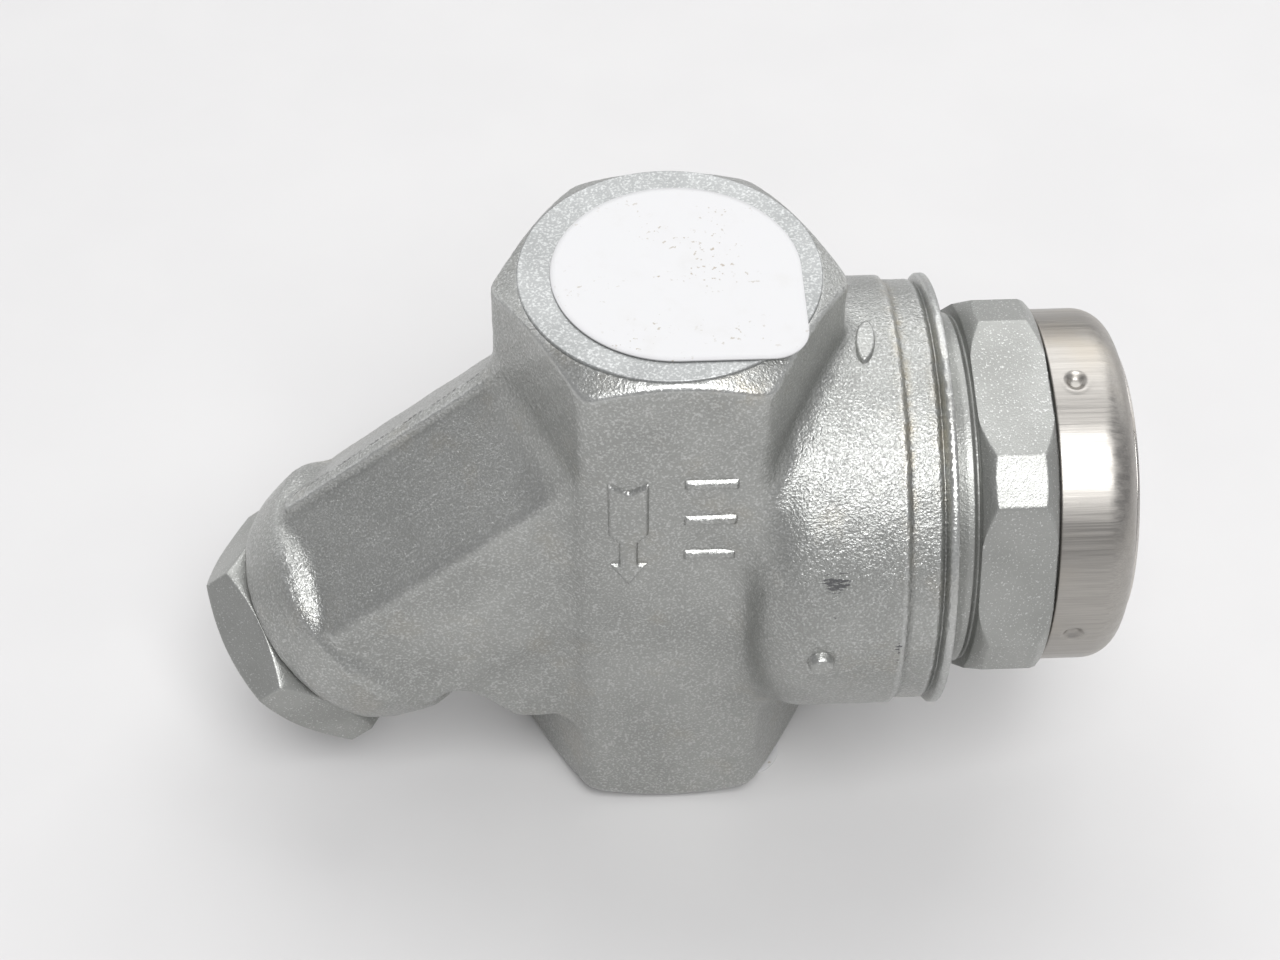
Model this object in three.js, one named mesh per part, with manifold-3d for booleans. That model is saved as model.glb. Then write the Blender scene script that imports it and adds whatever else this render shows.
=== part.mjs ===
// In-line screwed disc steam trap: forged Y body, disc module in the side barrel,
// strainer in the branch, clipped air-jacket cap and seal labels over both ports.
// Millimetres. +Z runs up the pipe axis from outlet to inlet, +X along the cover's
// axis, +Y away from the flow arrow. The origin is the middle of the outlet seal.

import * as THREE from "three";
import * as BufferGeometryUtils from "three/addons/utils/BufferGeometryUtils.js";
import Module from "manifold-3d";

const wasm = await Module();
wasm.setup();

// ---- shared clearances ----
const TURNED_GAP = 0.3; // between pieces that meet in the tilted branch
const FLAT_GAP = 0.05; // between flat faces that rest on each other
const RUN_GAP = 0.3; // radial room round a screwed or sliding fit
const JOIN = 1.5; // how far joined shapes reach into each other

// ---- seal labels ----
const LABEL_T = 0.3;
const LABEL_R = 14.6;
const LABEL_TAB_CORNER = 4.4; // rounding of the one squared corner, towards +X and -Y
const LABEL_OFF_X = 0.7; // stuck on by hand, a little off centre
const LABEL_OFF_Y = -0.3;

// ---- pipe ends and hexagonal column ----
const BODY_LENGTH = 80;
const PORT_AF = 36;
const HEX_CORNER_R = 2.4; // forged rounding of the column's upright edges
const FACE_R = 17.8;
const FACE_H = 1.2;
const END_CHAMFER_DEG = 31;
const PORT_BORE_R = 12.05;
const PORT_DEPTH = 17.5;
const THROAT_R = 7.6; // step down from the inlet port into the strainer
const THROAT_DEPTH = 23;

// ---- barrel, on the X axis ----
const BARREL_Z = 41;
const BARREL_R = 27.3;
const BARREL_START = 9.5;
const BARREL_FACE_X = 33.3;
const BARREL_SHOULDER_R = 7;
const BARREL_STEP_X = BARREL_FACE_X - 5.8;
const BARREL_RING_R = BARREL_R - 0.6;
const BARREL_RING_END_X = BARREL_FACE_X - 1.9;
const BARREL_VALLEY_R = BARREL_R - 1.1;
const BARREL_LIP_X = BARREL_FACE_X - 1.3;
const BARREL_LIP_R = BARREL_R + 0.2;

// ---- chamber in the barrel ----
const CHAMBER_FLOOR_X = 12;
const CHAMBER_R = 18.6;
const COVER_THREAD_R = CHAMBER_R + 2.4;
const COVER_THREAD_START_X = CHAMBER_FLOOR_X + 8.8;
const ANNULUS_R0 = 7.6;
const ANNULUS_R1 = CHAMBER_R - 4;
const ANNULUS_DEPTH = 3;

// ---- flow passages ----
const FEED_R = 3.4;
const FEED_END_X = -7;
const DRAIN_R = 3;
const DRAIN_PORT_X = 3;
const DRAIN_ANNULUS_X = 9;
const DRAIN_ANNULUS_DROP = 11;

// ---- strainer branch, tilted below the X axis ----
const BRANCH_Z = 58;
const BRANCH_TILT_DEG = 40.3;
const BRANCH_AF = 32;
const BRANCH_EDGE_R = 2;
const BRANCH_RIDGE_H = 0.5; // trimmed flash band standing along the top ridge
const BRANCH_RIDGE_W = 2.2;
const END_RING_R = 9.5; // rings on the screen's ends, which size the bores round them
const HOLDER_THREAD_R = END_RING_R + 2.4;
const COLLAR_FACE = 59;
const COLLAR_MOUTH_R = HOLDER_THREAD_R + 2.9;
const COLLAR_NOSE_R = COLLAR_MOUTH_R + 2.2;
const COLLAR_R = COLLAR_NOSE_R + 1;
const BRANCH_HEX_END = COLLAR_FACE - 9.5;
const HOLDER_THREAD_START = COLLAR_FACE - 12;
const STRAINER_BORE_R = HOLDER_THREAD_R - 0.6;
const SEAT_BORE_END = 14;
const SEAT_BORE_START = 0;
const GASKET_SINK = 1.6;

// ---- web between branch and column ----
const WEB_OUTLINE = [
  [-8, 15.5], [-13.7, 15.5], [-20.3, 15.7], [-24.5, 19.9], [-29.4, 23.2], [-27.5, 34.5], [-6, 54],
];
const WEB_EDGE_R = 1.6;

// ---- raised marks on the front face ----
const MARK_H = 0.5;
const ARROW_X = -5.55;
const ARROW_TOP_Z = 64;
const ARROW_LENGTH = 18.3;
const ARROW_HALF_W = 2.45;
const ARROW_NECK_HALF_W = 1.2;
const ARROW_TAIL_L = 9;
const ARROW_HEAD_L = 4;
const ARROW_NOTCH = 1.5;
const BATCH_BAR_X = 4.2;
const BATCH_BAR_W = 6.4;
const BATCH_BAR_H = 1.5;
const BATCH_BAR_TOP_Z = 63.4;
const BATCH_BAR_STEP = 6.2;
const BATCH_BAR_COUNT = 3;
const NUB_R = 1.7;
const NUB_H = 0.9;
const NUB_X = 17.4;
const NUB_DEG = 269; // round the barrel from +Z towards +Y

// ---- disc module ----
const GASKET_T = 1;
const OUTER_GASKET_W = 3;
const INNER_GASKET_R = ANNULUS_R0 - 0.6;
const INNER_GASKET_W = 2.8;
const FLANGE_X = CHAMBER_FLOOR_X + GASKET_T + 2 * FLAT_GAP;
const SEAT_FLANGE_R = CHAMBER_R - 0.4;
const SEAT_FLANGE_T = 4;
const FLANGE_TOP_X = FLANGE_X + SEAT_FLANGE_T;
const RIM_R = SEAT_FLANGE_R - 3;
const RIM_INNER_R = RIM_R - 2.5;
const RIM_UPPER_R = RIM_INNER_R + 0.8;
const RIM_STEP_H = 6.4; // module cap's ledge above the flange
const RIM_H = 11;
const SEAT_POST_R = RIM_INNER_R - 2.5;
const SEAT_POST_H = 2.5;
const SEAT_GROOVE_R1 = SEAT_POST_R - 1.2;
const SEAT_GROOVE_R0 = SEAT_GROOVE_R1 - 4;
const SEAT_GROOVE_DEPTH = 1.2;
const SEAT_HOLE_R = 2.8;
const OUTLET_HOLE_R = 1.2;
const OUTLET_HOLE_COUNT = 6;
const DISC_R = RIM_INNER_R - 0.9;
const DISC_T = 3;
const VENT_RING_R0 = SEAT_POST_R + 0.6;
const VENT_RING_R1 = RIM_INNER_R - 0.7;
const VENT_RING_T = 1.2;
const VENT_RING_LIFT = 0.6; // ring's rest height above the flange
const VENT_RING_SPLIT_DEG = 26;
const MODULE_CAP_T = 2.2;
const SNAP_RING_T = 1.2;
const SNAP_RING_R0 = RIM_UPPER_R - 1.9;
const SNAP_GROOVE_DEPTH = 0.7;
const SNAP_RING_SPLIT_DEG = 34;

// ---- cover ----
const COVER_COLLAR_R0 = COVER_THREAD_R + 0.8;
const COVER_COLLAR_R1 = COVER_COLLAR_R0 + 0.9;
const COVER_HEX_X = BARREL_FACE_X + 3.3;
const COVER_HEX_L = 9.2;
const COVER_AF = 46;
const COVER_HEX_TRIM = COVER_AF / 2 + 1.75; // flats that cut the hexagon's corners
const COVER_HEX_TURN_DEG = 49; // from -Y towards +Z
const COVER_FACE_R = COVER_AF / 2 + 0.45; // where the chamfer cone meets the end faces
const COVER_CHAMFER = 1.45; // depth along the axis at the corner flats
const COVER_NOSE_R = CHAMBER_R - 0.4;
const COVER_NOSE_END_X = COVER_THREAD_START_X + 0.15;
const COVER_POCKET_DEPTH = 2.3; // free height over the module's rim

// ---- air-jacket cap ----
const CAP_R = 22.4;
const CAP_WALL = 0.7;
const CAP_START_X = COVER_HEX_X + COVER_HEX_L + 0.4;
const CAP_SIDE_END_X = CAP_START_X + 5.8;
const CAP_END_X = CAP_START_X + 9.9;
const CAP_CROWN_R = CAP_R - 3.7;
const DIMPLE_COUNT = 4;
const DIMPLE_R = 1.75;
const DIMPLE_X = CAP_START_X + 3;
const DIMPLE_DEPTH = 1.4;
const DIMPLE_TURN_DEG = -8.2; // from -Y towards +Z
const PLATE_R = CAP_CROWN_R - 0.5;
const PLATE_T = 0.6;

// ---- spigot on the cover, which the cap's dimples grip ----
const SPIGOT_R = CAP_R - CAP_WALL - 0.6;
const SPIGOT_END_X = DIMPLE_X + 3.1;
const SPIGOT_GROOVE_R = SPIGOT_R - DIMPLE_DEPTH;
const SPIGOT_GROOVE_W = 3.2;

// ---- strainer ----
const END_RING_L = 3;
const SCREEN_R = END_RING_R - 1.2;
const SCREEN_WALL = 0.4;
const MESH_R = SCREEN_R + 0.6;
const MESH_WALL = 0.3;
const SCREEN_START = 9.5;
const SCREEN_END = COLLAR_FACE - 3;

// ---- screen holder ----
const HOLDER_AF = 29;
const HOLDER_TURN_DEG = 51;
const HOLDER_HEAD_T = 6.8;
const HOLDER_CHAMFER_DEG = 30;
const HOLDER_WASHER_R = HOLDER_AF / 2 - 0.2;
const HOLDER_GASKET_W = 1.7;
const HOLDER_INNER_END = HOLDER_THREAD_START + 0.5;
const HOLDER_BORE_L = COLLAR_FACE - HOLDER_INNER_END - 0.5;

const RAD = Math.PI / 180;
const SIDES_BIG = 48;
const SIDES_BORE = 30;
const SIDES_THIN = 16;

// ---- shape tools ----

// Turns a three.js geometry into a closed solid for joining and cutting.
function solid(geometry) {
  const bare = geometry.index ? geometry.clone() : geometry;
  bare.deleteAttribute("normal");
  bare.deleteAttribute("uv");
  const merged = BufferGeometryUtils.mergeVertices(bare, 1e-4);
  const mesh = new wasm.Mesh({
    numProp: 3,
    vertProperties: new Float32Array(merged.attributes.position.array),
    triVerts: new Uint32Array(merged.index.array),
  });
  return new wasm.Manifold(mesh);
}

function geometryOf(body) {
  const mesh = body.getMesh();
  const geometry = new THREE.BufferGeometry();
  geometry.setAttribute("position", new THREE.BufferAttribute(mesh.vertProperties, 3));
  geometry.setIndex(new THREE.BufferAttribute(mesh.triVerts, 1));
  geometry.computeVertexNormals();
  return geometry;
}

// Revolves [radius, height] points about Z.
function turned(profile, sides) {
  const points = profile.map(([r, h]) => new THREE.Vector2(r, h));
  return new THREE.LatheGeometry(points, sides).rotateX(Math.PI / 2);
}

// A ring of rectangular section about Z.
function ring(r0, r1, h0, h1, sides) {
  return turned([[r0, h0], [r1, h0], [r1, h1], [r0, h1], [r0, h0]], sides);
}

// A solid round bar about Z.
function bar(r, h0, h1, sides) {
  return turned([[0, h0], [r, h0], [r, h1], [0, h1]], sides);
}

// Lays a shape that stands on Z along +X at the barrel's height.
function onBarrel(geometry) {
  return geometry.rotateY(Math.PI / 2).translate(0, 0, LABEL_T + BARREL_Z);
}

const BRANCH_TURN = -(90 + BRANCH_TILT_DEG) * RAD;

// Lays a shape that stands on Z along the branch.
function onBranch(geometry) {
  return geometry.rotateY(BRANCH_TURN).translate(0, 0, LABEL_T + BRANCH_Z);
}

// Regular hexagon across its flats, first corner at the given angle from +X.
function hexPoints(acrossFlats, turnDeg) {
  const r = acrossFlats / Math.sqrt(3);
  const points = [];
  for (let k = 0; k < 6; k += 1) {
    const a = (turnDeg + 60 * k) * RAD;
    points.push([r * Math.cos(a), r * Math.sin(a)]);
  }
  return points;
}

// Closed outline of the points, each corner rounded off by a curve.
function outline(points, radius) {
  const shape = new THREE.Shape();
  const n = points.length;
  for (let k = 0; k < n; k += 1) {
    const here = new THREE.Vector2(...points[k]);
    const before = new THREE.Vector2(...points[(k + n - 1) % n]);
    const after = new THREE.Vector2(...points[(k + 1) % n]);
    const toBefore = before.sub(here);
    const toAfter = after.sub(here);
    const half = Math.acos(toBefore.dot(toAfter) / (toBefore.length() * toAfter.length())) / 2;
    const run = radius / Math.tan(half);
    const start = here.clone().add(toBefore.setLength(run));
    const end = here.clone().add(toAfter.setLength(run));
    if (k === 0) shape.moveTo(start.x, start.y);
    else shape.lineTo(start.x, start.y);
    if (radius > 0) shape.quadraticCurveTo(here.x, here.y, end.x, end.y);
  }
  shape.closePath();
  return shape;
}

function extruded(shape, depth, curveSegments) {
  return new THREE.ExtrudeGeometry(shape, { depth, bevelEnabled: false, curveSegments });
}

// Outline in the XZ plane, thickened from y0 to y1.
function upright(shape, y0, y1, curveSegments) {
  return extruded(shape, y1 - y0, curveSegments).rotateX(Math.PI / 2).translate(0, y1, 0);
}

// ---- body ----

function columnSolid() {
  const corner = PORT_AF / Math.sqrt(3);
  const slope = Math.tan(END_CHAMFER_DEG * RAD);
  const drop = (corner + 1 - FACE_R) * slope;
  const z0 = LABEL_T;
  const z1 = LABEL_T + BODY_LENGTH;
  const hex = extruded(outline(hexPoints(PORT_AF, 0), HEX_CORNER_R), BODY_LENGTH, 3);
  const ends = turned([
    [0, z0], [FACE_R, z0], [FACE_R, z0 + FACE_H],
    [corner + 1, z0 + FACE_H + drop], [corner + 1, z1 - FACE_H - drop],
    [FACE_R, z1 - FACE_H], [FACE_R, z1], [0, z1],
  ], SIDES_BIG);
  return solid(hex.translate(0, 0, z0)).intersect(solid(ends));
}

function barrelSolid() {
  const inner = BARREL_R - BARREL_SHOULDER_R;
  const profile = [[0, BARREL_START - JOIN], [inner - JOIN, BARREL_START - JOIN], [inner, BARREL_START]];
  for (let k = 1; k <= 5; k += 1) {
    const a = (k * 18) * RAD;
    profile.push([
      inner + BARREL_SHOULDER_R * Math.sin(a),
      BARREL_START + BARREL_SHOULDER_R * (1 - Math.cos(a)),
    ]);
  }
  profile.push(
    [BARREL_R, BARREL_STEP_X], [BARREL_RING_R, BARREL_STEP_X + 0.4],
    [BARREL_RING_R, BARREL_RING_END_X], [BARREL_VALLEY_R, BARREL_LIP_X],
    [BARREL_LIP_R, BARREL_LIP_X + 0.5], [BARREL_LIP_R, BARREL_FACE_X], [0, BARREL_FACE_X],
  );
  return solid(onBarrel(turned(profile, SIDES_BIG)));
}

function branchSolid() {
  const ridge = BRANCH_AF / Math.sqrt(3);
  const prism = extruded(outline(hexPoints(BRANCH_AF, 0), BRANCH_EDGE_R), BRANCH_HEX_END, 2);
  const band = new THREE.BoxGeometry(BRANCH_RIDGE_H + 3 * JOIN, BRANCH_RIDGE_W, BRANCH_HEX_END - JOIN);
  band.translate(ridge + (BRANCH_RIDGE_H - 3 * JOIN) / 2, 0, (BRANCH_HEX_END - JOIN) / 2);
  const start = BRANCH_HEX_END - 2;
  const collar = turned([
    [0, start], [BRANCH_AF / 2 - 0.2, start], [COLLAR_R, BRANCH_HEX_END + 0.7],
    [(COLLAR_R + COLLAR_NOSE_R) / 2, COLLAR_FACE - 5.5], [COLLAR_NOSE_R, COLLAR_FACE - 3],
    [COLLAR_NOSE_R - 0.8, COLLAR_FACE - 1.2], [COLLAR_MOUTH_R + 0.8, COLLAR_FACE - 0.3],
    [COLLAR_MOUTH_R, COLLAR_FACE], [0, COLLAR_FACE],
  ], SIDES_BIG);
  return solid(onBranch(prism)).add(solid(onBranch(band))).add(solid(onBranch(collar)));
}

function webSolid() {
  const points = WEB_OUTLINE.map(([x, z]) => [x, z + LABEL_T]);
  const half = BRANCH_AF / 2 - 0.02;
  const shape = outline(points, 0.6);
  const wide = solid(upright(shape, WEB_EDGE_R - half, half - WEB_EDGE_R, 2));
  const inset = points.map(([x, z]) => [x + WEB_EDGE_R * 0.5, z + WEB_EDGE_R * 0.9]);
  return wide.add(solid(upright(outline(inset, 0.6), -half, half, 2)));
}

function arrowSolid() {
  const top = LABEL_T + ARROW_TOP_Z;
  const tip = top - ARROW_LENGTH;
  const head = tip + ARROW_HEAD_L;
  const tail = top - ARROW_TAIL_L;
  const side = [
    [ARROW_HALF_W, top], [ARROW_HALF_W, tail], [ARROW_NECK_HALF_W, tail - 1.4],
    [ARROW_NECK_HALF_W, head], [ARROW_HALF_W, head],
  ];
  const points = [[0, top - ARROW_NOTCH], ...side, [0, tip]];
  for (const [x, z] of [...side].reverse()) points.push([-x, z]);
  const shape = outline(points.map(([x, z]) => [ARROW_X + x, z]), 0);
  return solid(upright(shape, -PORT_AF / 2 - MARK_H, -PORT_AF / 2 + JOIN, 1));
}

function batchBars() {
  let bars = null;
  for (let k = 0; k < BATCH_BAR_COUNT; k += 1) {
    const z = BATCH_BAR_TOP_Z - k * BATCH_BAR_STEP;
    const block = new THREE.BoxGeometry(BATCH_BAR_W, MARK_H + JOIN, BATCH_BAR_H);
    block.translate(BATCH_BAR_X, -PORT_AF / 2 + (JOIN - MARK_H) / 2, LABEL_T + z);
    bars = bars ? bars.add(solid(block)) : solid(block);
  }
  return bars;
}

function nubSolid() {
  const nub = bar(NUB_R, BARREL_R - JOIN, BARREL_R + NUB_H, SIDES_THIN);
  nub.translate(NUB_X, 0, 0).rotateX(-NUB_DEG * RAD);
  return solid(nub.translate(0, 0, LABEL_T + BARREL_Z));
}

// Everything the steam, the module, the strainer and the screwed pieces go into.
function bodyHollows() {
  const z0 = LABEL_T;
  const z1 = LABEL_T + BODY_LENGTH;
  const hollows = [
    bar(PORT_BORE_R, z0 - JOIN, z0 + PORT_DEPTH, SIDES_BORE),
    bar(PORT_BORE_R, z1 - PORT_DEPTH, z1 + JOIN, SIDES_BORE),
    bar(THROAT_R, z1 - THROAT_DEPTH, z1 - PORT_DEPTH + JOIN, SIDES_BORE),
    onBarrel(bar(CHAMBER_R, CHAMBER_FLOOR_X, BARREL_FACE_X + JOIN, SIDES_BORE)),
    onBarrel(bar(COVER_THREAD_R + RUN_GAP, COVER_THREAD_START_X, BARREL_FACE_X + JOIN, SIDES_BORE)),
    onBarrel(ring(
      ANNULUS_R0, ANNULUS_R1, CHAMBER_FLOOR_X - ANNULUS_DEPTH, CHAMBER_FLOOR_X + JOIN, SIDES_BORE,
    )),
    onBarrel(bar(FEED_R, FEED_END_X, CHAMBER_FLOOR_X + JOIN, SIDES_THIN)),
    drainGeometry(),
    onBranch(bar(END_RING_R + RUN_GAP, SEAT_BORE_START, SEAT_BORE_END + JOIN, SIDES_BORE)),
    onBranch(bar(STRAINER_BORE_R, SEAT_BORE_END, COLLAR_FACE + JOIN, SIDES_BORE)),
    onBranch(bar(HOLDER_THREAD_R + RUN_GAP, HOLDER_THREAD_START, COLLAR_FACE + JOIN, SIDES_BORE)),
    onBranch(bar(gasketOuterR() + TURNED_GAP, COLLAR_FACE - GASKET_SINK, COLLAR_FACE + JOIN, SIDES_BORE)),
  ];
  return hollows.map(solid);
}

// Drilling from the outlet bore up into the annular groove.
function drainGeometry() {
  const low = new THREE.Vector3(DRAIN_PORT_X, 0, LABEL_T + PORT_DEPTH - 2 * JOIN);
  const high = new THREE.Vector3(DRAIN_ANNULUS_X, 0, LABEL_T + BARREL_Z - DRAIN_ANNULUS_DROP);
  const along = high.clone().sub(low);
  const drill = bar(DRAIN_R, 0, along.length(), SIDES_THIN);
  drill.applyQuaternion(new THREE.Quaternion().setFromUnitVectors(
    new THREE.Vector3(0, 0, 1), along.normalize(),
  ));
  return drill.translate(low.x, low.y, low.z);
}

function bodyGeometry() {
  let body = columnSolid();
  for (const lump of [barrelSolid(), branchSolid(), webSolid(), arrowSolid(), batchBars(), nubSolid()]) {
    body = body.add(lump);
  }
  for (const hollow of bodyHollows()) body = body.subtract(hollow);
  return geometryOf(body);
}

// ---- seal labels ----

// Round film with one corner left square as a pull tab.
function labelGeometry() {
  const shape = new THREE.Shape();
  shape.absarc(0, 0, LABEL_R, 0, Math.PI * 1.5, false);
  shape.lineTo(LABEL_R - LABEL_TAB_CORNER, -LABEL_R);
  shape.quadraticCurveTo(LABEL_R, -LABEL_R, LABEL_R, LABEL_TAB_CORNER - LABEL_R);
  shape.closePath();
  return extruded(shape, LABEL_T - FLAT_GAP, 10).translate(LABEL_OFF_X, LABEL_OFF_Y, 0);
}

// ---- cover and cap ----

// Hexagon with its corners cut by six short flats.
function coverHexPoints() {
  const points = [];
  const half = COVER_AF / 2;
  const spread = Math.PI / 6;
  const reach = (half - COVER_HEX_TRIM * Math.cos(spread)) / Math.sin(spread);
  for (let k = 0; k < 6; k += 1) {
    const a = (270 - COVER_HEX_TURN_DEG + 60 * k) * RAD;
    for (const side of [-reach, reach]) {
      points.push([
        COVER_HEX_TRIM * Math.cos(a) - side * Math.sin(a),
        COVER_HEX_TRIM * Math.sin(a) + side * Math.cos(a),
      ]);
    }
  }
  return points;
}

function coverGeometry() {
  const noseX = FLANGE_TOP_X + FLAT_GAP;
  const pocketX = FLANGE_TOP_X + RIM_H + COVER_POCKET_DEPTH;
  const pocketR = RIM_R + 0.7;
  const hexEnd = COVER_HEX_X + COVER_HEX_L;
  const grooveX0 = DIMPLE_X - SPIGOT_GROOVE_W / 2;
  const grooveX1 = DIMPLE_X + SPIGOT_GROOVE_W / 2;
  const stem = turned([
    [0, pocketX], [pocketR, pocketX], [pocketR, noseX],
    [COVER_NOSE_R, noseX], [COVER_NOSE_R, COVER_NOSE_END_X],
    [COVER_THREAD_R - 0.8, COVER_NOSE_END_X], [COVER_THREAD_R, COVER_NOSE_END_X + 0.8],
    [COVER_THREAD_R, BARREL_FACE_X + TURNED_GAP], [COVER_COLLAR_R0, BARREL_FACE_X + TURNED_GAP],
    [COVER_COLLAR_R1, COVER_HEX_X + 0.3], [SPIGOT_R, hexEnd - JOIN], [SPIGOT_R, grooveX0],
    [SPIGOT_GROOVE_R, grooveX0], [SPIGOT_GROOVE_R, grooveX1], [SPIGOT_R, grooveX1],
    [SPIGOT_R, SPIGOT_END_X - 0.6], [SPIGOT_R - 0.6, SPIGOT_END_X], [0, SPIGOT_END_X],
  ], SIDES_BIG);
  const hex = extruded(outline(coverHexPoints(), 0.3), COVER_HEX_L, 1).translate(0, 0, COVER_HEX_X);
  const faceR = COVER_FACE_R;
  const outR = COVER_HEX_TRIM + 1;
  const drop = COVER_CHAMFER * (outR - faceR) / (COVER_HEX_TRIM - faceR);
  const trim = turned([
    [0, COVER_HEX_X], [faceR, COVER_HEX_X], [outR, COVER_HEX_X + drop],
    [outR, hexEnd - drop], [faceR, hexEnd], [0, hexEnd],
  ], SIDES_BIG);
  const cover = solid(hex).intersect(solid(trim)).add(solid(stem));
  return onBarrel(geometryOf(cover));
}

// A point on the cap, at a distance from the axis and an angle from -Y towards +Z.
function aroundCap(radius, deg, x) {
  return new THREE.Vector3(x, -radius * Math.cos(deg * RAD), radius * Math.sin(deg * RAD));
}

function capGeometry() {
  const outer = [[0, CAP_END_X], [CAP_CROWN_R, CAP_END_X]];
  const inner = [[0, CAP_END_X - CAP_WALL], [CAP_CROWN_R - CAP_WALL / 2, CAP_END_X - CAP_WALL]];
  const rise = CAP_END_X - CAP_SIDE_END_X;
  for (let k = 1; k <= 3; k += 1) {
    const a = (k * 30) * RAD;
    outer.push([
      CAP_CROWN_R + (CAP_R - CAP_CROWN_R) * Math.sin(a),
      CAP_SIDE_END_X + rise * Math.cos(a),
    ]);
    inner.push([
      CAP_CROWN_R - CAP_WALL / 2 + (CAP_R - CAP_CROWN_R - CAP_WALL / 2) * Math.sin(a),
      CAP_SIDE_END_X + (rise - CAP_WALL) * Math.cos(a),
    ]);
  }
  const profile = [...outer, [CAP_R, CAP_START_X], [CAP_R - CAP_WALL, CAP_START_X], ...inner.reverse()];
  let cap = solid(turned(profile.reverse(), SIDES_BIG).rotateY(Math.PI / 2));
  for (let k = 0; k < DIMPLE_COUNT; k += 1) {
    const deg = DIMPLE_TURN_DEG + (360 / DIMPLE_COUNT) * k;
    const out = aroundCap(1, deg, 0);
    const turn = new THREE.Quaternion().setFromUnitVectors(new THREE.Vector3(0, 0, 1), out);
    const foot = aroundCap(CAP_R - CAP_WALL / 2, deg, DIMPLE_X);
    const bump = turned([
      [0, -DIMPLE_DEPTH], [DIMPLE_R * 0.6, -DIMPLE_DEPTH], [DIMPLE_R, 0], [0, 0],
    ], 8).applyQuaternion(turn).translate(foot.x, foot.y, foot.z);
    const dent = turned([
      [0, -DIMPLE_DEPTH + CAP_WALL], [DIMPLE_R * 0.45, -DIMPLE_DEPTH + CAP_WALL],
      [DIMPLE_R, CAP_WALL], [0, CAP_WALL],
    ], 8).applyQuaternion(turn).translate(foot.x, foot.y, foot.z);
    cap = cap.add(solid(bump)).subtract(solid(dent));
  }
  return geometryOf(cap).translate(0, 0, LABEL_T + BARREL_Z);
}

function plateGeometry() {
  const x0 = CAP_END_X + FLAT_GAP;
  return onBarrel(turned([
    [0, x0], [PLATE_R - 0.2, x0], [PLATE_R, x0 + 0.2],
    [PLATE_R - 0.2, x0 + PLATE_T], [0, x0 + PLATE_T],
  ], SIDES_BIG));
}

// ---- disc module, on the barrel's axis ----

function moduleSeatGeometry() {
  const post = FLANGE_TOP_X + SEAT_POST_H;
  const groove = post - SEAT_GROOVE_DEPTH;
  const step = FLANGE_TOP_X + RIM_STEP_H;
  const snap = step + MODULE_CAP_T + 2 * FLAT_GAP;
  const snapEnd = snap + SNAP_RING_T + 2 * FLAT_GAP;
  const top = FLANGE_TOP_X + RIM_H;
  const seat = solid(onBarrel(turned([
    [SEAT_HOLE_R, FLANGE_X], [SEAT_FLANGE_R, FLANGE_X], [SEAT_FLANGE_R, FLANGE_TOP_X],
    [RIM_R, FLANGE_TOP_X], [RIM_R, top], [RIM_UPPER_R, top], [RIM_UPPER_R, snapEnd],
    [RIM_UPPER_R + SNAP_GROOVE_DEPTH, snapEnd], [RIM_UPPER_R + SNAP_GROOVE_DEPTH, snap],
    [RIM_UPPER_R, snap], [RIM_UPPER_R, step], [RIM_INNER_R, step], [RIM_INNER_R, FLANGE_TOP_X],
    [SEAT_POST_R, FLANGE_TOP_X], [SEAT_POST_R, post], [SEAT_GROOVE_R1, post],
    [SEAT_GROOVE_R1, groove], [SEAT_GROOVE_R0, groove], [SEAT_GROOVE_R0, post],
    [SEAT_HOLE_R, post], [SEAT_HOLE_R, FLANGE_X],
  ], SIDES_BORE)));
  const pitchR = (SEAT_GROOVE_R0 + SEAT_GROOVE_R1) / 2 + 1;
  let drilled = seat;
  for (let k = 0; k < OUTLET_HOLE_COUNT; k += 1) {
    const a = (360 / OUTLET_HOLE_COUNT) * k * RAD;
    const hole = bar(OUTLET_HOLE_R, FLANGE_X - JOIN, post + JOIN, 8);
    hole.translate(pitchR * Math.cos(a), pitchR * Math.sin(a), 0);
    drilled = drilled.subtract(solid(onBarrel(hole)));
  }
  return geometryOf(drilled);
}

function valveDiscGeometry() {
  const x0 = FLANGE_TOP_X + SEAT_POST_H + FLAT_GAP;
  const profile = [
    [0, x0], [DISC_R, x0], [DISC_R, x0 + DISC_T - 0.4], [DISC_R - 0.4, x0 + DISC_T], [0, x0 + DISC_T],
  ];
  return onBarrel(turned(profile, SIDES_BORE));
}

// A flat ring with a gap cut in it.
function splitRing(r0, r1, x0, thickness, splitDeg) {
  const half = (splitDeg / 2) * RAD;
  const shape = new THREE.Shape();
  shape.absarc(0, 0, r1, half, Math.PI * 2 - half, false);
  shape.absarc(0, 0, r0, Math.PI * 2 - half, half, true);
  shape.closePath();
  return onBarrel(extruded(shape, thickness, 10).translate(0, 0, x0));
}

function moduleCapGeometry() {
  const x0 = FLANGE_TOP_X + RIM_STEP_H + FLAT_GAP;
  const lid = bar(RIM_UPPER_R - RUN_GAP, x0, x0 + MODULE_CAP_T, SIDES_BORE);
  const dish = bar(RIM_INNER_R - 3, x0 - JOIN, x0 + MODULE_CAP_T / 2, SIDES_BORE);
  return onBarrel(geometryOf(solid(lid).subtract(solid(dish))));
}

// ---- strainer and its holder, in the branch ----

function gasketOuterR() {
  return HOLDER_THREAD_R + TURNED_GAP + HOLDER_GASKET_W;
}

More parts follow.
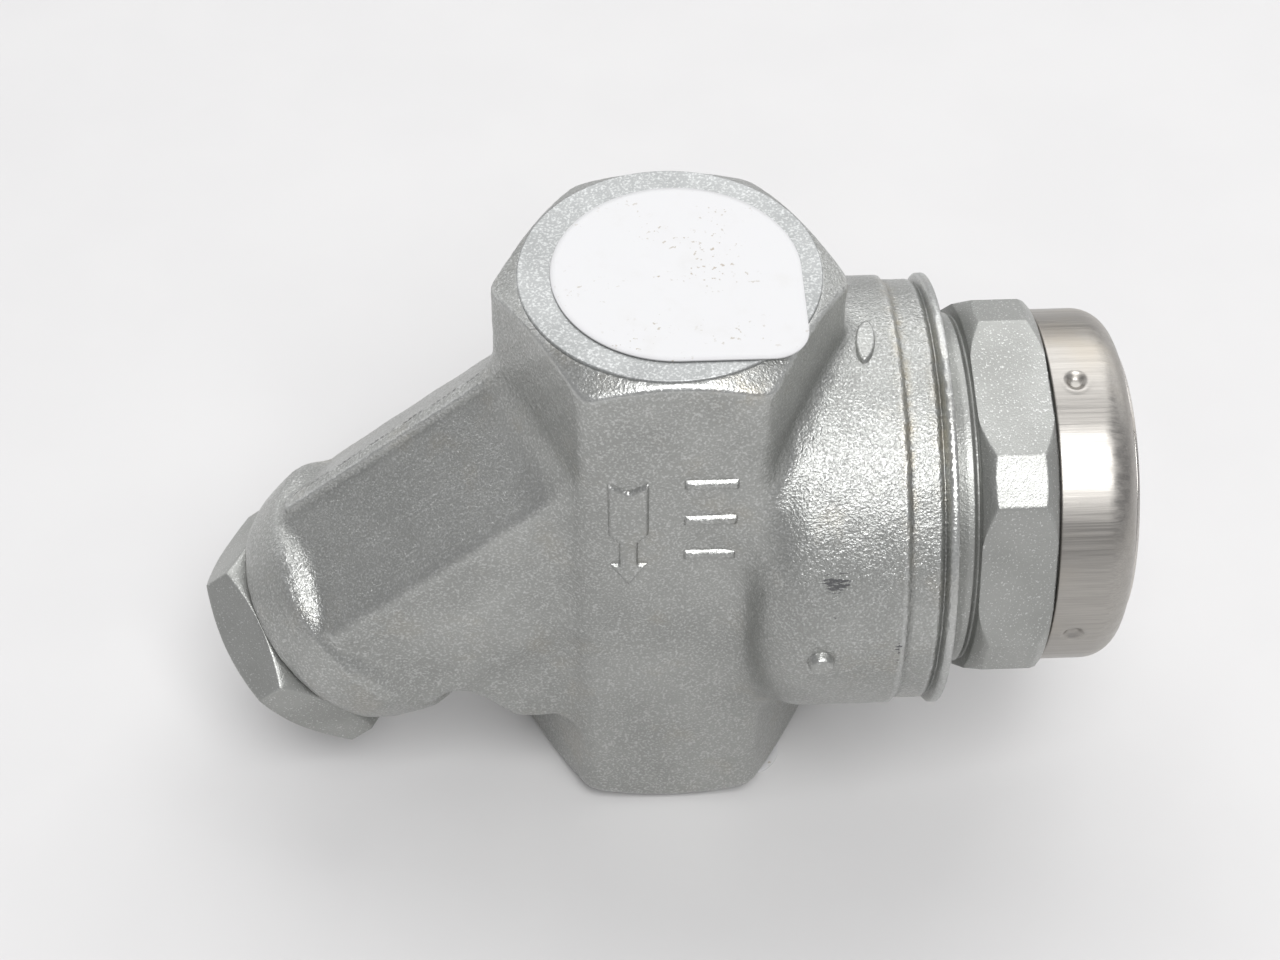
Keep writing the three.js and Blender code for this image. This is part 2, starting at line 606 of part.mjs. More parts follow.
function holderGeometry() {
  const head = COLLAR_FACE + TURNED_GAP;
  const end = head + HOLDER_HEAD_T;
  const inner = HOLDER_INNER_END;
  const corner = HOLDER_AF / Math.sqrt(3);
  const slope = Math.tan(HOLDER_CHAMFER_DEG * RAD);
  const drop = (corner + 1 - HOLDER_WASHER_R) * slope;
  const hex = extruded(outline(hexPoints(HOLDER_AF, HOLDER_TURN_DEG), 0.5), HOLDER_HEAD_T, 1);
  const trim = turned([
    [0, head], [HOLDER_WASHER_R, head], [corner + 1, head + drop],
    [corner + 1, end - drop], [HOLDER_WASHER_R, end], [0, end],
  ], SIDES_BORE);
  const bore = END_RING_R + RUN_GAP;
  const stem = turned([
    [0, inner + HOLDER_BORE_L], [bore, inner + HOLDER_BORE_L], [bore, inner],
    [HOLDER_THREAD_R - 0.6, inner], [HOLDER_THREAD_R, inner + 0.6],
    [HOLDER_THREAD_R, head + JOIN], [0, head + JOIN],
  ], SIDES_BORE);
  const holder = solid(hex.translate(0, 0, head)).intersect(solid(trim)).add(solid(stem));
  return onBranch(geometryOf(holder));
}

function holderGasketGeometry() {
  const r0 = HOLDER_THREAD_R + TURNED_GAP;
  const bottom = COLLAR_FACE - GASKET_SINK + TURNED_GAP;
  return onBranch(ring(r0, gasketOuterR(), bottom, COLLAR_FACE, SIDES_BORE));
}

function branchRing(r0, r1, start, length) {
  return onBranch(ring(r0, r1, start, start + length, SIDES_BORE));
}

// ---- materials ----

function paint(color, roughness, metalness) {
  return new THREE.MeshStandardMaterial({ color, roughness, metalness });
}

const SILVER_PAINT = paint(0x9b9d9a, 0.5, 0.6);
const MACHINED = paint(0xa9aba8, 0.4, 0.8);
const BRUSHED = paint(0xb4b0a6, 0.35, 0.95);
const HARD_STEEL = paint(0x8f9193, 0.25, 0.95);
const SEAL_FILM = paint(0xf4f4f0, 0.6, 0);
const SOFT_METAL = paint(0x8a8c8e, 0.45, 0.9);
const BIMETAL = paint(0xb09a78, 0.4, 0.9);
const WOVEN = paint(0xa0a29f, 0.5, 0.8);

// ---- assembly ----

function add(parent, name, geometry, material) {
  const mesh = new THREE.Mesh(geometry, material);
  mesh.name = name;
  parent.add(mesh);
  return mesh;
}

function buildTrap() {
  const trap = new THREE.Group();
  add(trap, "body", bodyGeometry(), SILVER_PAINT);
  add(trap, "outlet_seal_label", labelGeometry(), SEAL_FILM);
  const inletLabel = add(trap, "inlet_seal_label", labelGeometry(), SEAL_FILM);
  inletLabel.position.z = LABEL_T + BODY_LENGTH + FLAT_GAP;

  add(trap, "cover", coverGeometry(), MACHINED);
  add(trap, "air_jacket_cap", capGeometry(), BRUSHED);
  add(trap, "blank_nameplate", plateGeometry(), BRUSHED);

  const gasketX = CHAMBER_FLOOR_X + FLAT_GAP;
  const outerR = SEAT_FLANGE_R;
  add(trap, "inner_module_gasket", onBarrel(ring(
    INNER_GASKET_R - INNER_GASKET_W, INNER_GASKET_R, gasketX, gasketX + GASKET_T, SIDES_BORE,
  )), SOFT_METAL);
  add(trap, "outer_module_gasket", onBarrel(ring(
    outerR - OUTER_GASKET_W, outerR, gasketX, gasketX + GASKET_T, SIDES_BORE,
  )), SOFT_METAL);
  add(trap, "module_valve_seat", moduleSeatGeometry(), HARD_STEEL);
  add(trap, "valve_disc", valveDiscGeometry(), HARD_STEEL);
  add(trap, "air_vent_ring", splitRing(
    VENT_RING_R0, VENT_RING_R1, FLANGE_TOP_X + VENT_RING_LIFT, VENT_RING_T, VENT_RING_SPLIT_DEG,
  ), BIMETAL);
  add(trap, "module_inner_cover", moduleCapGeometry(), HARD_STEEL);
  const snapX = FLANGE_TOP_X + RIM_STEP_H + MODULE_CAP_T + 3 * FLAT_GAP;
  add(trap, "module_snap_ring", splitRing(
    SNAP_RING_R0, RIM_UPPER_R + SNAP_GROOVE_DEPTH - 2 * FLAT_GAP, snapX, SNAP_RING_T, SNAP_RING_SPLIT_DEG,
  ), SOFT_METAL);

  add(trap, "screen_holder", holderGeometry(), MACHINED);
  add(trap, "screen_holder_gasket", holderGasketGeometry(), SOFT_METAL);
  const ringTop = SCREEN_END - END_RING_L;
  const sleeveStart = SCREEN_START + END_RING_L + TURNED_GAP;
  add(trap, "strainer_screen", branchRing(
    SCREEN_R - SCREEN_WALL, SCREEN_R, SCREEN_START, SCREEN_END - SCREEN_START,
  ), HARD_STEEL);
  add(trap, "strainer_mesh_sleeve", branchRing(
    MESH_R - MESH_WALL, MESH_R, sleeveStart, ringTop - TURNED_GAP - sleeveStart,
  ), WOVEN);
  add(trap, "screen_end_ring_inner", branchRing(
    SCREEN_R + TURNED_GAP, END_RING_R, SCREEN_START, END_RING_L,
  ), HARD_STEEL);
  add(trap, "screen_end_ring_outer", branchRing(
    SCREEN_R + TURNED_GAP, END_RING_R, ringTop, END_RING_L,
  ), HARD_STEEL);
  return trap;
}

export default buildTrap();
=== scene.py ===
import bpy
import numpy as np
from mathutils import Matrix, Vector


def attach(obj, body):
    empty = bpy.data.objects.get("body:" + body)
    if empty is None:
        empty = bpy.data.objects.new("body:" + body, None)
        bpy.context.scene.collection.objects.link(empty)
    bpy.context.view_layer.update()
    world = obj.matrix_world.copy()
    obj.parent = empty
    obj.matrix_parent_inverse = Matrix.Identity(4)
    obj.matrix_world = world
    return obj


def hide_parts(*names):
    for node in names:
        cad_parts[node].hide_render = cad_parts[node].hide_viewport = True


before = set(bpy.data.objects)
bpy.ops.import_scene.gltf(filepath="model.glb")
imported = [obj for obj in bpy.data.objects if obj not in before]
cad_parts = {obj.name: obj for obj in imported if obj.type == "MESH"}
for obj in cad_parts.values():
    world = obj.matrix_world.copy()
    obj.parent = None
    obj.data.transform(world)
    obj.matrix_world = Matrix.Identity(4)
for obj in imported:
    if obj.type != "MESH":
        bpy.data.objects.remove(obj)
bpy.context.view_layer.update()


# ---- forged body ----
# One drop forging in carbon steel: a hexagonal pipe column, a round side barrel for the
# disc module and a tilted hexagonal branch for the strainer, run together with forged
# fillets. Its ends, bores and barrel rim are turned; all but the bores is painted silver.

MM = 0.001
LABEL_T = 0.3
BODY_TOP = 80.3
HALF_LENGTH = 40
MIDDLE_Z = LABEL_T + HALF_LENGTH
COLUMN_FLAT = 18.5      # from the pipe axis to a flat
FACE_R = 17.8           # rim of a turned port face, where its chamfer starts
FACE_H = 0.35           # step from that face down to the chamfer
END_CHAMFER = np.radians(31)
PORT_R = 12.05
PORT_DEPTH = 17.5
BARREL_Z = 41.3
BARREL_R = 27.3
BARREL_START = 9.5
BARREL_FACE = 33.3
SHOULDER_R = 7.0
BARREL_RIM = [(0, 27.3), (27.3, 27.3), (27.75, 26.72), (31.2, 26.7), (31.85, 26.15),
              (32.35, 27.4), (33.3, 27.5)]
BRANCH_Z = 58.3
BRANCH_DIR = np.array((-0.76266833, 0, -0.64678978))
BRANCH_UP = np.array((-0.64678978, 0, 0.76266833))
BRANCH_FLAT = 16.0
BRANCH_HEX_END = 49.5
BRANCH_FACE = 59.0
BAND_HALF, BAND_FROM, BAND_TOP, BAND_END = 1.1, 9, 18.7, 48
COLLAR = [(46, 15.2), (47.5, 16.1), (48.5, 16.95), (49.5, 17.7), (50.5, 18.05), (52, 17.9), (54, 17.45),
          (56, 16.95), (57.5, 16.3), (58.5, 15.5), (59, 14.8)]
WEB = [(-8, 15.8), (-13.7, 15.8), (-20.3, 16), (-24.5, 20.2), (-29.4, 23.5), (-27.5, 34.8), (-6, 54.3)]
# bores as radius, start, end: along the pipe axis, along the barrel's and along the branch's
PIPE_BORES = [(PORT_R, -2, LABEL_T + PORT_DEPTH), (PORT_R, BODY_TOP - PORT_DEPTH, 83),
              (7.6, BODY_TOP - 23, BODY_TOP - 16)]
BARREL_BORES = [(18.6, 12, 36), (21.3, 20.8, 36), (3.4, -7, 13)]
GALLERY_R, GALLERY_INNER_R, GALLERY_START, GALLERY_END = 14.6, 7.6, 9, 13
BRANCH_BORES = [(9.8, 0, 15.5), (11.3, 14, 62), (12.2, 47, 62), (14.2, 57.4, 62)]
OUTLET_WAY_R, OUTLET_WAY = 3.0, ((3, 0, 14.8), (9, 0, 30.3))


def soft_max(a, b, k):
    """Larger of two distances, rounded where they differ by less than k."""
    h = np.maximum(k - np.abs(a - b), 0) / k
    return np.maximum(a, b) + h * h * k / 4


def soft_min(a, b, k):
    return -soft_max(-a, -b, k)


def hexagon(u, v, flat, k):
    """Distance to a hexagon with corners on u, its three pairs of flats met by soft_max."""
    d = soft_max(np.abs(0.8660254 * u + 0.5 * v), np.abs(0.8660254 * u - 0.5 * v), k)
    return soft_max(d, np.abs(v), k) - flat


def polygon(points, u, v):
    """Distance to a closed outline: the nearest edge's, negative inside by counting crossings."""
    best = np.full(np.broadcast(u, v).shape, 1e9)
    inside = np.zeros(best.shape, bool)
    for (au, av), (bu, bv) in zip(points, points[1:] + points[:1]):
        du, dv = bu - au, bv - av
        s = np.clip(((u - au) * du + (v - av) * dv) / (du * du + dv * dv), 0, 1)
        best = np.minimum(best, (u - au - s * du) ** 2 + (v - av - s * dv) ** 2)
        crosses = (av > v) != (bv > v)
        inside ^= crosses & (u < au + (v - av) * du / (dv if dv else 1e-9))
    return np.where(inside, -1, 1) * np.sqrt(best)


def waves(x, y, z):
    """Slow unevenness of a hammered surface: sines of three wavelengths, none in step."""
    return (0.05 * np.sin(0.61 * x + 0.43 * y + 1.1) * np.sin(0.52 * z + 0.33 * y + 0.4)
            + 0.035 * np.sin(1.13 * x - 0.71 * z + 2.0) * np.sin(0.93 * y + 0.4 * z)
            + 0.02 * np.sin(2.1 * x + 0.5 * z) * np.sin(1.9 * z - 1.3 * y + 0.7))


def along_branch(x, y, z):
    t = x * BRANCH_DIR[0] + (z - BRANCH_Z) * BRANCH_DIR[2]
    u = x * BRANCH_UP[0] + (z - BRANCH_Z) * BRANCH_UP[2]
    return t, u


def column_field(x, y, z):
    """Hexagon held under two end cones; the turned faces that stand on them are made apart."""
    r = np.hypot(x, y)
    past = np.abs(z - MIDDLE_Z) - HALF_LENGTH + FACE_H
    cone = (r - FACE_R) * np.sin(END_CHAMFER) + past * np.cos(END_CHAMFER)
    under = np.maximum(cone, past)
    return soft_max(hexagon(x, y, COLUMN_FLAT, 1.6), under, 0.45)


def barrel_field(x, y, z):
    """Revolved about X: a rounded shoulder, then the rim's steps as radius against x."""
    r = np.hypot(y, z - BARREL_Z)
    across = r - np.interp(x, *zip(*BARREL_RIM))
    dx, dr = BARREL_START + SHOULDER_R - x, r - BARREL_R + SHOULDER_R
    flanks = np.maximum(dx - SHOULDER_R, across)
    shoulder = np.where((dx > 0) & (dr > 0), np.hypot(dx, dr) - SHOULDER_R, flanks)
    return soft_max(shoulder, x - BARREL_FACE, 0.4)


def arm_field(x, y, z):
    """Tilted hexagon with a flash band along its ridge, a forged collar, and the web."""
    t, u = along_branch(x, y, z)
    prism = soft_max(hexagon(u, y, BRANCH_FLAT, 1.3), t - BRANCH_HEX_END, 1.2)
    band = np.maximum(np.abs(y) - BAND_HALF, t - BAND_END)
    band = np.maximum(band, np.maximum(u - BAND_TOP, BAND_FROM - u))
    prism = soft_min(prism, band, 0.7)
    r = np.hypot(u, y)
    collar = np.maximum((r - np.interp(t, *zip(*COLLAR))) * 0.93, np.maximum(46 - t, t - BRANCH_FACE))
    prism = soft_max(soft_min(prism, collar, 0.7), -t, 1)
    web = soft_max(polygon(WEB, x, z), np.abs(y) - BRANCH_FLAT, 1.6)
    return soft_min(prism, web, 1.6)


def bar_field(t, r, radius, start, end):
    return np.maximum(r - radius, np.maximum(start - t, t - end))


def hollow_field(x, y, z):
    """Both ports and the throat, the module's chamber with its passages, the strainer's bore."""
    r = np.hypot(x, y)
    rb = np.hypot(y, z - BARREL_Z)
    t, u = along_branch(x, y, z)
    rs = np.hypot(u, y)
    parts = [bar_field(z, r, *size) for size in PIPE_BORES]
    parts += [bar_field(x, rb, *size) for size in BARREL_BORES]
    gallery = bar_field(x, rb, GALLERY_R, GALLERY_START, GALLERY_END)
    parts.append(np.maximum(gallery, GALLERY_INNER_R - rb))
    parts += [bar_field(t, rs, *size) for size in BRANCH_BORES]
    low, high = np.array(OUTLET_WAY)
    way = (high - low) / np.linalg.norm(high - low)
    s = (x - low[0]) * way[0] + (z - low[2]) * way[2]
    off = np.sqrt(np.maximum((x - low[0]) ** 2 + y * y + (z - low[2]) ** 2 - s * s, 0))
    parts.append(bar_field(s, off, OUTLET_WAY_R, 0, np.linalg.norm(high - low)))
    return np.minimum.reduce(parts)


def outside_field(x, y, z):
    fillet = 4.2 - 2.4 * smooth_step(z, 64, 72)
    lump = soft_min(column_field(x, y, z), barrel_field(x, y, z), fillet)
    return soft_min(lump, arm_field(x, y, z), 3.0)


def body_field(x, y, z):
    machined = np.maximum(smooth_step(np.abs(z - MIDDLE_Z), 37.5, 38.6), smooth_step(x, 30, 32))
    rough = outside_field(x, y, z) + waves(x, y, z) * (1 - machined)
    return soft_max(rough, -hollow_field(x, y, z), 0.3)


def smooth_step(v, low, high):
    s = np.clip((v - low) / (high - low), 0, 1)
    return s * s * (3 - 2 * s)


def gradient(field, p, step=0.04):
    """Slope of a field at points, from values a step either way along each axis."""
    g = np.empty_like(p)
    for axis in range(3):
        d = np.zeros(3)
        d[axis] = step
        g[:, axis] = (field(*(p + d).T) - field(*(p - d).T)) / (2 * step)
    return g


def skin_of(field, xs, ys, zs):
    """The zero surface of a field on a lattice: a point in each cell that it crosses, at the
    mean of the crossings on the cell's edges, and a quad round each lattice edge crossed."""
    value = field(xs[:, None, None], ys[None, :, None], zs[None, None, :])
    inside = value < 0
    count = sum(inside[i:len(xs) - 1 + i, j:len(ys) - 1 + j, k:len(zs) - 1 + k].astype(np.int8)
                for i in (0, 1) for j in (0, 1) for k in (0, 1))
    cells = np.argwhere((count > 0) & (count < 8))
    number = np.full(count.shape, -1, np.int64)
    number[tuple(cells.T)] = np.arange(len(cells))
    axes = (xs, ys, zs)
    total, hits = np.zeros((len(cells), 3)), np.zeros((len(cells), 1))
    corners = np.array([(i, j, k) for i in (0, 1) for j in (0, 1) for k in (0, 1)])
    for a in corners:
        for axis in range(3):
            if a[axis]:
                continue
            b = a.copy()
            b[axis] = 1
            ia, ib = (cells + a).T, (cells + b).T
            va, vb = value[tuple(ia)], value[tuple(ib)]
            hit = (va < 0) != (vb < 0)
            s = np.where(hit, va / np.where(hit, va - vb, 1), 0)[:, None]
            pa = np.stack([axes[n][ia[n]] for n in range(3)], 1)
            pb = np.stack([axes[n][ib[n]] for n in range(3)], 1)
            total += np.where(hit[:, None], pa + s * (pb - pa), 0)
            hits += hit[:, None]
    points = total / hits
    for _ in range(3):
        g = gradient(field, points)
        move = (field(*points.T) / np.maximum((g * g).sum(1), 0.2))[:, None] * g
        points -= np.clip(move, -0.25, 0.25)
    quads = []
    for axis in range(3):
        one, two = (axis + 1) % 3, (axis + 2) % 3
        low = np.take(inside, range(inside.shape[axis] - 1), axis)
        high = np.take(inside, range(1, inside.shape[axis]), axis)
        at = np.argwhere(low != high)
        at = at[(at[:, one] > 0) & (at[:, two] > 0)]
        at = at[(at[:, one] < count.shape[one]) & (at[:, two] < count.shape[two])]
        ring = []
        for back_one, back_two in ((1, 1), (0, 1), (0, 0), (1, 0)):
            c = at.copy()
            c[:, one] -= back_one
            c[:, two] -= back_two
            ring.append(number[tuple(c.T)])
        ring = np.stack(ring, 1)
        outward = low[tuple(at.T)]
        quads.append(np.where(outward[:, None], ring, ring[:, ::-1]))
    return points, np.concatenate(quads)


def mesh_piece(name, points, faces, normals=None):
    """A piece from points in millimetres and quads or triangles, all smooth."""
    mesh = bpy.data.meshes.new(name)
    faces = [np.asarray(f) for f in (faces if isinstance(faces, list) else [faces])]
    loops = np.concatenate([f.ravel() for f in faces])
    sizes = np.concatenate([np.full(len(f), f.shape[1]) for f in faces])
    starts = np.concatenate([[0], np.cumsum(sizes)[:-1]])
    mesh.vertices.add(len(points))
    mesh.vertices.foreach_set("co", (np.asarray(points, float) * MM).ravel())
    mesh.loops.add(len(loops))
    mesh.loops.foreach_set("vertex_index", loops.astype(np.int32))
    mesh.polygons.add(len(sizes))
    mesh.polygons.foreach_set("loop_start", starts.astype(np.int32))
    mesh.polygons.foreach_set("use_smooth", np.ones(len(sizes), bool))
    mesh.update(calc_edges=True)
    mesh.validate()
    if normals is not None:
        mesh.normals_split_custom_set_from_vertices(normals)
    piece = bpy.data.objects.new(name, mesh)
    bpy.context.scene.collection.objects.link(piece)
    return piece


def number_on(piece, name, values):
    attribute = piece.data.attributes.new(name, "FLOAT", "POINT")
    attribute.data.foreach_set("value", np.asarray(values, np.float32))


def lattice(low, high, step, fine_from=None, fine_step=None):
    """Even steps, closer together past fine_from."""
    if fine_from is None:
        return np.arange(low, high + step, step)
    fine = np.arange(fine_from, high + fine_step, fine_step)
    return np.concatenate([np.arange(low, fine_from, step), fine])


body_points, body_quads = skin_of(
    body_field,
    lattice(-57.2, 34.0, 0.62, 26.8, 0.36),
    lattice(-28.3, 28.3, 0.62),
    lattice(-0.35, 81.0, 0.62),
)
slope = gradient(body_field, body_points, 0.12)
body = mesh_piece("forged_body", body_points, body_quads,
                  slope / np.maximum(np.linalg.norm(slope, axis=1), 1e-6)[:, None])
px, py, pz = body_points.T
bore = smooth_step(0.6 - np.abs(hollow_field(px, py, pz)), 0.2, 0.45)
ends = smooth_step(np.abs(pz - MIDDLE_Z), 39.6, 39.85) * smooth_step(-np.hypot(px, py), -17.85, -17.3)
number_on(body, "turned", np.maximum(ends, smooth_step(px, 31.3, 31.8)) * (1 - bore))
on_barrel_skin = smooth_step(px, 9, 15)
on_arm = smooth_step(-px, 14, 20) * smooth_step(-np.abs(py), -15.8, -14.5)
cones = smooth_step(np.abs(pz - MIDDLE_Z), 36.8, 37.6) * (1 - on_barrel_skin)
number_on(body, "leather", 0.3 + 0.7 * on_barrel_skin + 0.6 * on_arm - 0.15 * cones)
round_barrel = np.degrees(np.arctan2(-py, pz - BARREL_Z))


def spot(x, degrees, long, wide):
    """One at a place on the barrel, given by x and its angle from the top to the front,
    falling to none over the given half sizes."""
    turned_by = (round_barrel - degrees) / np.degrees(wide / BARREL_R)
    return np.exp(-((px - x) / long) ** 2 - turned_by ** 2)


def between(angle, none_below, full_from, full_to, none_above):
    """One over a range of an angle, eased to none on both sides."""
    return smooth_step(angle, none_below, full_from) * smooth_step(-angle, -none_above, -full_to)


scuffs = 1.3 * spot(18.8, 66, 2.4, 1.5) + 0.75 * spot(17.9, 76, 2.2, 0.9) + 1.2 * spot(26.6, 88, 0.6, 2.6)
number_on(body, "scuff", scuffs * smooth_step(px, 12, 14))
front_right = np.exp(-((px - 8) / 4) ** 2 - ((py + 18) / 2) ** 2 - ((pz - 79) / 2) ** 2)
step_line = np.exp(-((px - 27.6) / 0.8) ** 2) * between(round_barrel, -60, 5, 20, 85)
upper_lip = np.exp(-((px - 31.6) / 1.2) ** 2) * between(round_barrel, -30, 20, 30, 60)
number_on(body, "rust", np.clip(0.4 * front_right + 0.7 * step_line + 0.35 * upper_lip, 0, 1))
number_on(body, "bare", bore)
# Curvature of the outside: above zero on convex edges, below zero in concave creases. The paint uses it
# to lighten the edges and to darken the creases as painted shade.
bend = sum(outside_field(*(body_points + d).T) for d in np.vstack((np.eye(3), -np.eye(3))) * 0.7)
number_on(body, "corner", np.clip(bend - 6 * outside_field(px, py, pz), -1, 1) * (1 - bore))


class Finish:
    """A node material being put together: each call adds one node and returns its output."""

    def __init__(self, name):
        self.material = bpy.data.materials.new(name)
        self.material.use_nodes = True
        self.tree = self.material.node_tree
        self.shader = self.tree.nodes["Principled BSDF"]
        self.place = self.tree.nodes.new("ShaderNodeTexCoord").outputs["Object"]

    def node(self, kind, inputs=(), out=0, **settings):
        made = self.tree.nodes.new("ShaderNode" + kind)
        for key, value in settings.items():
            setattr(made, key, value)
        for key, value in dict(inputs).items():
            self.feed(made.inputs[key], value)
        return made.outputs[out]

    def feed(self, socket, value):
        if isinstance(value, bpy.types.NodeSocket):
            self.tree.links.new(value, socket)
        else:
            socket.default_value = value

    def sized(self, x, y=None, z=None):
        """Object place in units of the given lengths in millimetres."""
        y, z = y or x, z or x
        scale = (1 / (x * MM), 1 / (y * MM), 1 / (z * MM))
        return self.node("Mapping", {"Vector": self.place, "Scale": scale})

    def noise(self, place, detail, rough):
        inputs = {"Vector": place, "Scale": 1.0, "Detail": detail, "Roughness": rough}
        return self.node("TexNoise", inputs)

    def spread(self, value, low, high, to_low=0.0, to_high=1.0):
        inputs = {"Value": value, "From Min": low, "From Max": high, "To Min": to_low, "To Max": to_high}
        return self.node("MapRange", inputs, interpolation_type="SMOOTHSTEP")

    def maths(self, operation, a, b):
        return self.node("Math", {0: a, 1: b}, operation=operation)

    def blend(self, amount, a, b):
        made = self.tree.nodes.new("ShaderNodeMix")
        made.data_type = "RGBA"
        for socket, value in ((0, amount), (6, a), (7, b)):
            self.feed(made.inputs[socket], value)
        return made.outputs[2]

    def number(self, name):
        return self.node("Attribute", attribute_name=name, out=2)

    def bump(self, height, distance, strength=1.0, under=None):
        inputs = {"Height": height, "Distance": distance * MM, "Strength": strength}
        if under is not None:
            inputs["Normal"] = under
        return self.node("Bump", inputs)

    def end(self, color, roughness, metallic=None, normal=None, **fixed):
        self.feed(self.shader.inputs["Base Color"], color)
        self.feed(self.shader.inputs["Roughness"], roughness)
        if metallic is not None:
            self.feed(self.shader.inputs["Metallic"], metallic)
        if normal is not None:
            self.feed(self.shader.inputs["Normal"], normal)
        for key, value in fixed.items():
            self.shader.inputs[key.replace("_", " ")].default_value = value
        return self.material


def silver_paint(name, with_numbers=True):
    """Silver paint over a shot-blasted forging: leathery grain, flakes that glint, stains, and, where the
    body's numbers are read, convex edges lightened and painted shade darkening the creases.
    """
    f = Finish(name)
    grain = f.noise(f.sized(0.58), 3.0, 0.62)
    pits = f.noise(f.sized(0.32), 2.0, 0.6)
    flakes = f.noise(f.sized(0.3), 1.0, 0.5)
    cloud = f.noise(f.sized(14), 3.0, 0.55)
    stain = f.spread(f.noise(f.sized(9), 4.0, 0.6), 0.54, 0.7)
    color = f.blend(f.spread(cloud, 0.3, 0.7), (0.33, 0.335, 0.322, 1), (0.39, 0.395, 0.38, 1))
    color = f.blend(f.maths("MULTIPLY", stain, 0.14), color, (0.40, 0.34, 0.24, 1))
    glint = f.spread(flakes, 0.45, 0.75)
    color = f.blend(f.maths("MULTIPLY", glint, 0.4), color, (0.86, 0.87, 0.86, 1))
    rough = f.spread(pits, 0.3, 0.7, 0.42, 0.28)
    metal = f.spread(flakes, 0.4, 0.7, 0.78, 0.95)
    coarse = 0.4
    if with_numbers:
        turned = f.number("turned")
        bare = f.number("bare")
        corner = f.number("corner")
        worked = f.maths("MAXIMUM", turned, bare)
        coarse = f.maths("MULTIPLY", f.number("leather"), f.spread(worked, 0, 1, 1, 0.1))
        # Convex edges are lightened towards pale grey. Concave creases are darkened towards near-black as
        # painted shade.
        color = f.blend(f.spread(corner, 0.1, 0.6, 0, 0.4), color, (0.62, 0.63, 0.62, 1))
        color = f.blend(f.spread(corner, -0.1, -0.6, 0, 0.45), color, (0.20, 0.205, 0.195, 1))
        color = f.blend(f.maths("MULTIPLY", bare, 0.9), color, (0.40, 0.39, 0.37, 1))
        metal = f.maths("MAXIMUM", metal, bare)
        blotch = f.spread(f.noise(f.sized(2.2), 4.0, 0.65), 0.35, 0.7)
        tinge = f.maths("MULTIPLY", f.number("rust"), blotch)
        color = f.blend(f.maths("MULTIPLY", tinge, 0.7), color, (0.42, 0.35, 0.22, 1))
        streaks = f.noise(f.sized(1.8, 0.5, 0.5), 3.0, 0.65)
        rubbed = f.maths("MULTIPLY", f.number("scuff"), 0.32)
        scuff = f.spread(f.maths("ADD", rubbed, streaks), 0.80, 0.86)
        color = f.blend(f.maths("MULTIPLY", scuff, 0.85), color, (0.055, 0.055, 0.06, 1))
        metal = f.maths("MULTIPLY", metal, f.spread(scuff, 0, 1, 1, 0.4))
    low = f.bump(grain, 0.15, coarse)
    mid = f.bump(pits, 0.11, coarse, low)
    fine = f.bump(flakes, 0.08, 0.8, mid)
    return f.end(color, rough, metal, fine)


body.data.materials.append(silver_paint("silver_paint"))
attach(body, "body")
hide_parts("body")


# ---- turned port faces ----
# The two end faces are turned square to the bore after forging, each with a small bevel
# at its rim. They are part of the forging, and are painted with it.

FACE_BEVEL, FACE_SUNK = 0.12, 2.2


def closed_rings(rings):
    """Quads between rings of points, each joined to the next, with a fan at a first or last
    ring that is a single point. A ring is an (n, 3) array."""
    points, faces, starts = [], [], []
    at = 0
    for ring in rings:
        starts.append((at, len(ring)))
        points.append(ring)
        at += len(ring)
    for (a, na), (b, nb) in zip(starts, starts[1:]):
        n = max(na, nb)
        i = np.arange(n)
        j = (i + 1) % n
        if na == 1:
            faces.append(np.stack([np.full(n, a), b + j, b + i], 1))
        elif nb == 1:
            faces.append(np.stack([a + i, a + j, np.full(n, b)], 1))
        else:
            faces.append(np.stack([a + i, a + j, b + j, b + i], 1))
    return np.concatenate(points), faces


def rounded(profile, radius, steps=3):
    """Profile with each corner replaced by an arc held between two close points, so that
    the flats beside it stay flat under smooth shading. Points are [place, radius]."""
    p = np.asarray(profile, float)
    out = [p[0]]
    for a, b, c in zip(p[:-2], p[1:-1], p[2:]):
        back, on = a - b, c - b
        lb, lo = np.linalg.norm(back), np.linalg.norm(on)
        run = min(radius, lb * 0.42, lo * 0.42)
        back, on = back / lb, on / lo
        out.append(b + back * run * 1.15)
        for s in np.linspace(0, 1, steps + 2):
            out.append(b + back * run * (1 - s) ** 2 + on * run * s ** 2)
        out.append(b + on * run * 1.15)
    out.append(p[-1])
    return np.array(out)


def face_outwards(piece):
    """Turns the whole mesh the right way out, by the sign of its volume."""
    mesh = piece.data
    mesh.calc_loop_triangles()
    co = np.empty(len(mesh.vertices) * 3)
    mesh.vertices.foreach_get("co", co)
    tri = np.empty(len(mesh.loop_triangles) * 3, np.int32)
    mesh.loop_triangles.foreach_get("vertices", tri)
    a, b, c = co.reshape(-1, 3)[tri.reshape(-1, 3)].transpose(1, 0, 2)
    if np.einsum("ij,ij->", a, np.cross(b, c)) < 0:
        mesh.flip_normals()
    return piece


def port_face(name, face_z, inward):
    """Closed ring of revolution: bore wall, face, bevel, rim and a back sunk in the body."""
    profile = [
        (FACE_SUNK, 13.5), (0.4, PORT_R), (0.25, PORT_R), (0, PORT_R + 0.25), (0, FACE_R - FACE_BEVEL),
        (FACE_BEVEL * 0.9, FACE_R), (FACE_H + 0.5, FACE_R), (FACE_SUNK, 16.5), (FACE_SUNK, 13.5),
    ]
    turn = np.linspace(0, 2 * np.pi, 360, endpoint=False)
    rings = [np.stack([r * np.cos(turn), r * np.sin(turn), np.full(len(turn), face_z + inward * d)], 1)
             for d, r in rounded(profile, 0.06, 1)[:-1]]
    points, faces = closed_rings(rings + rings[:1])
    faces = [np.where(f >= len(points) - len(turn), f - len(points) + len(turn), f) for f in faces]
    return face_outwards(mesh_piece(name, points[:-len(turn)], faces))


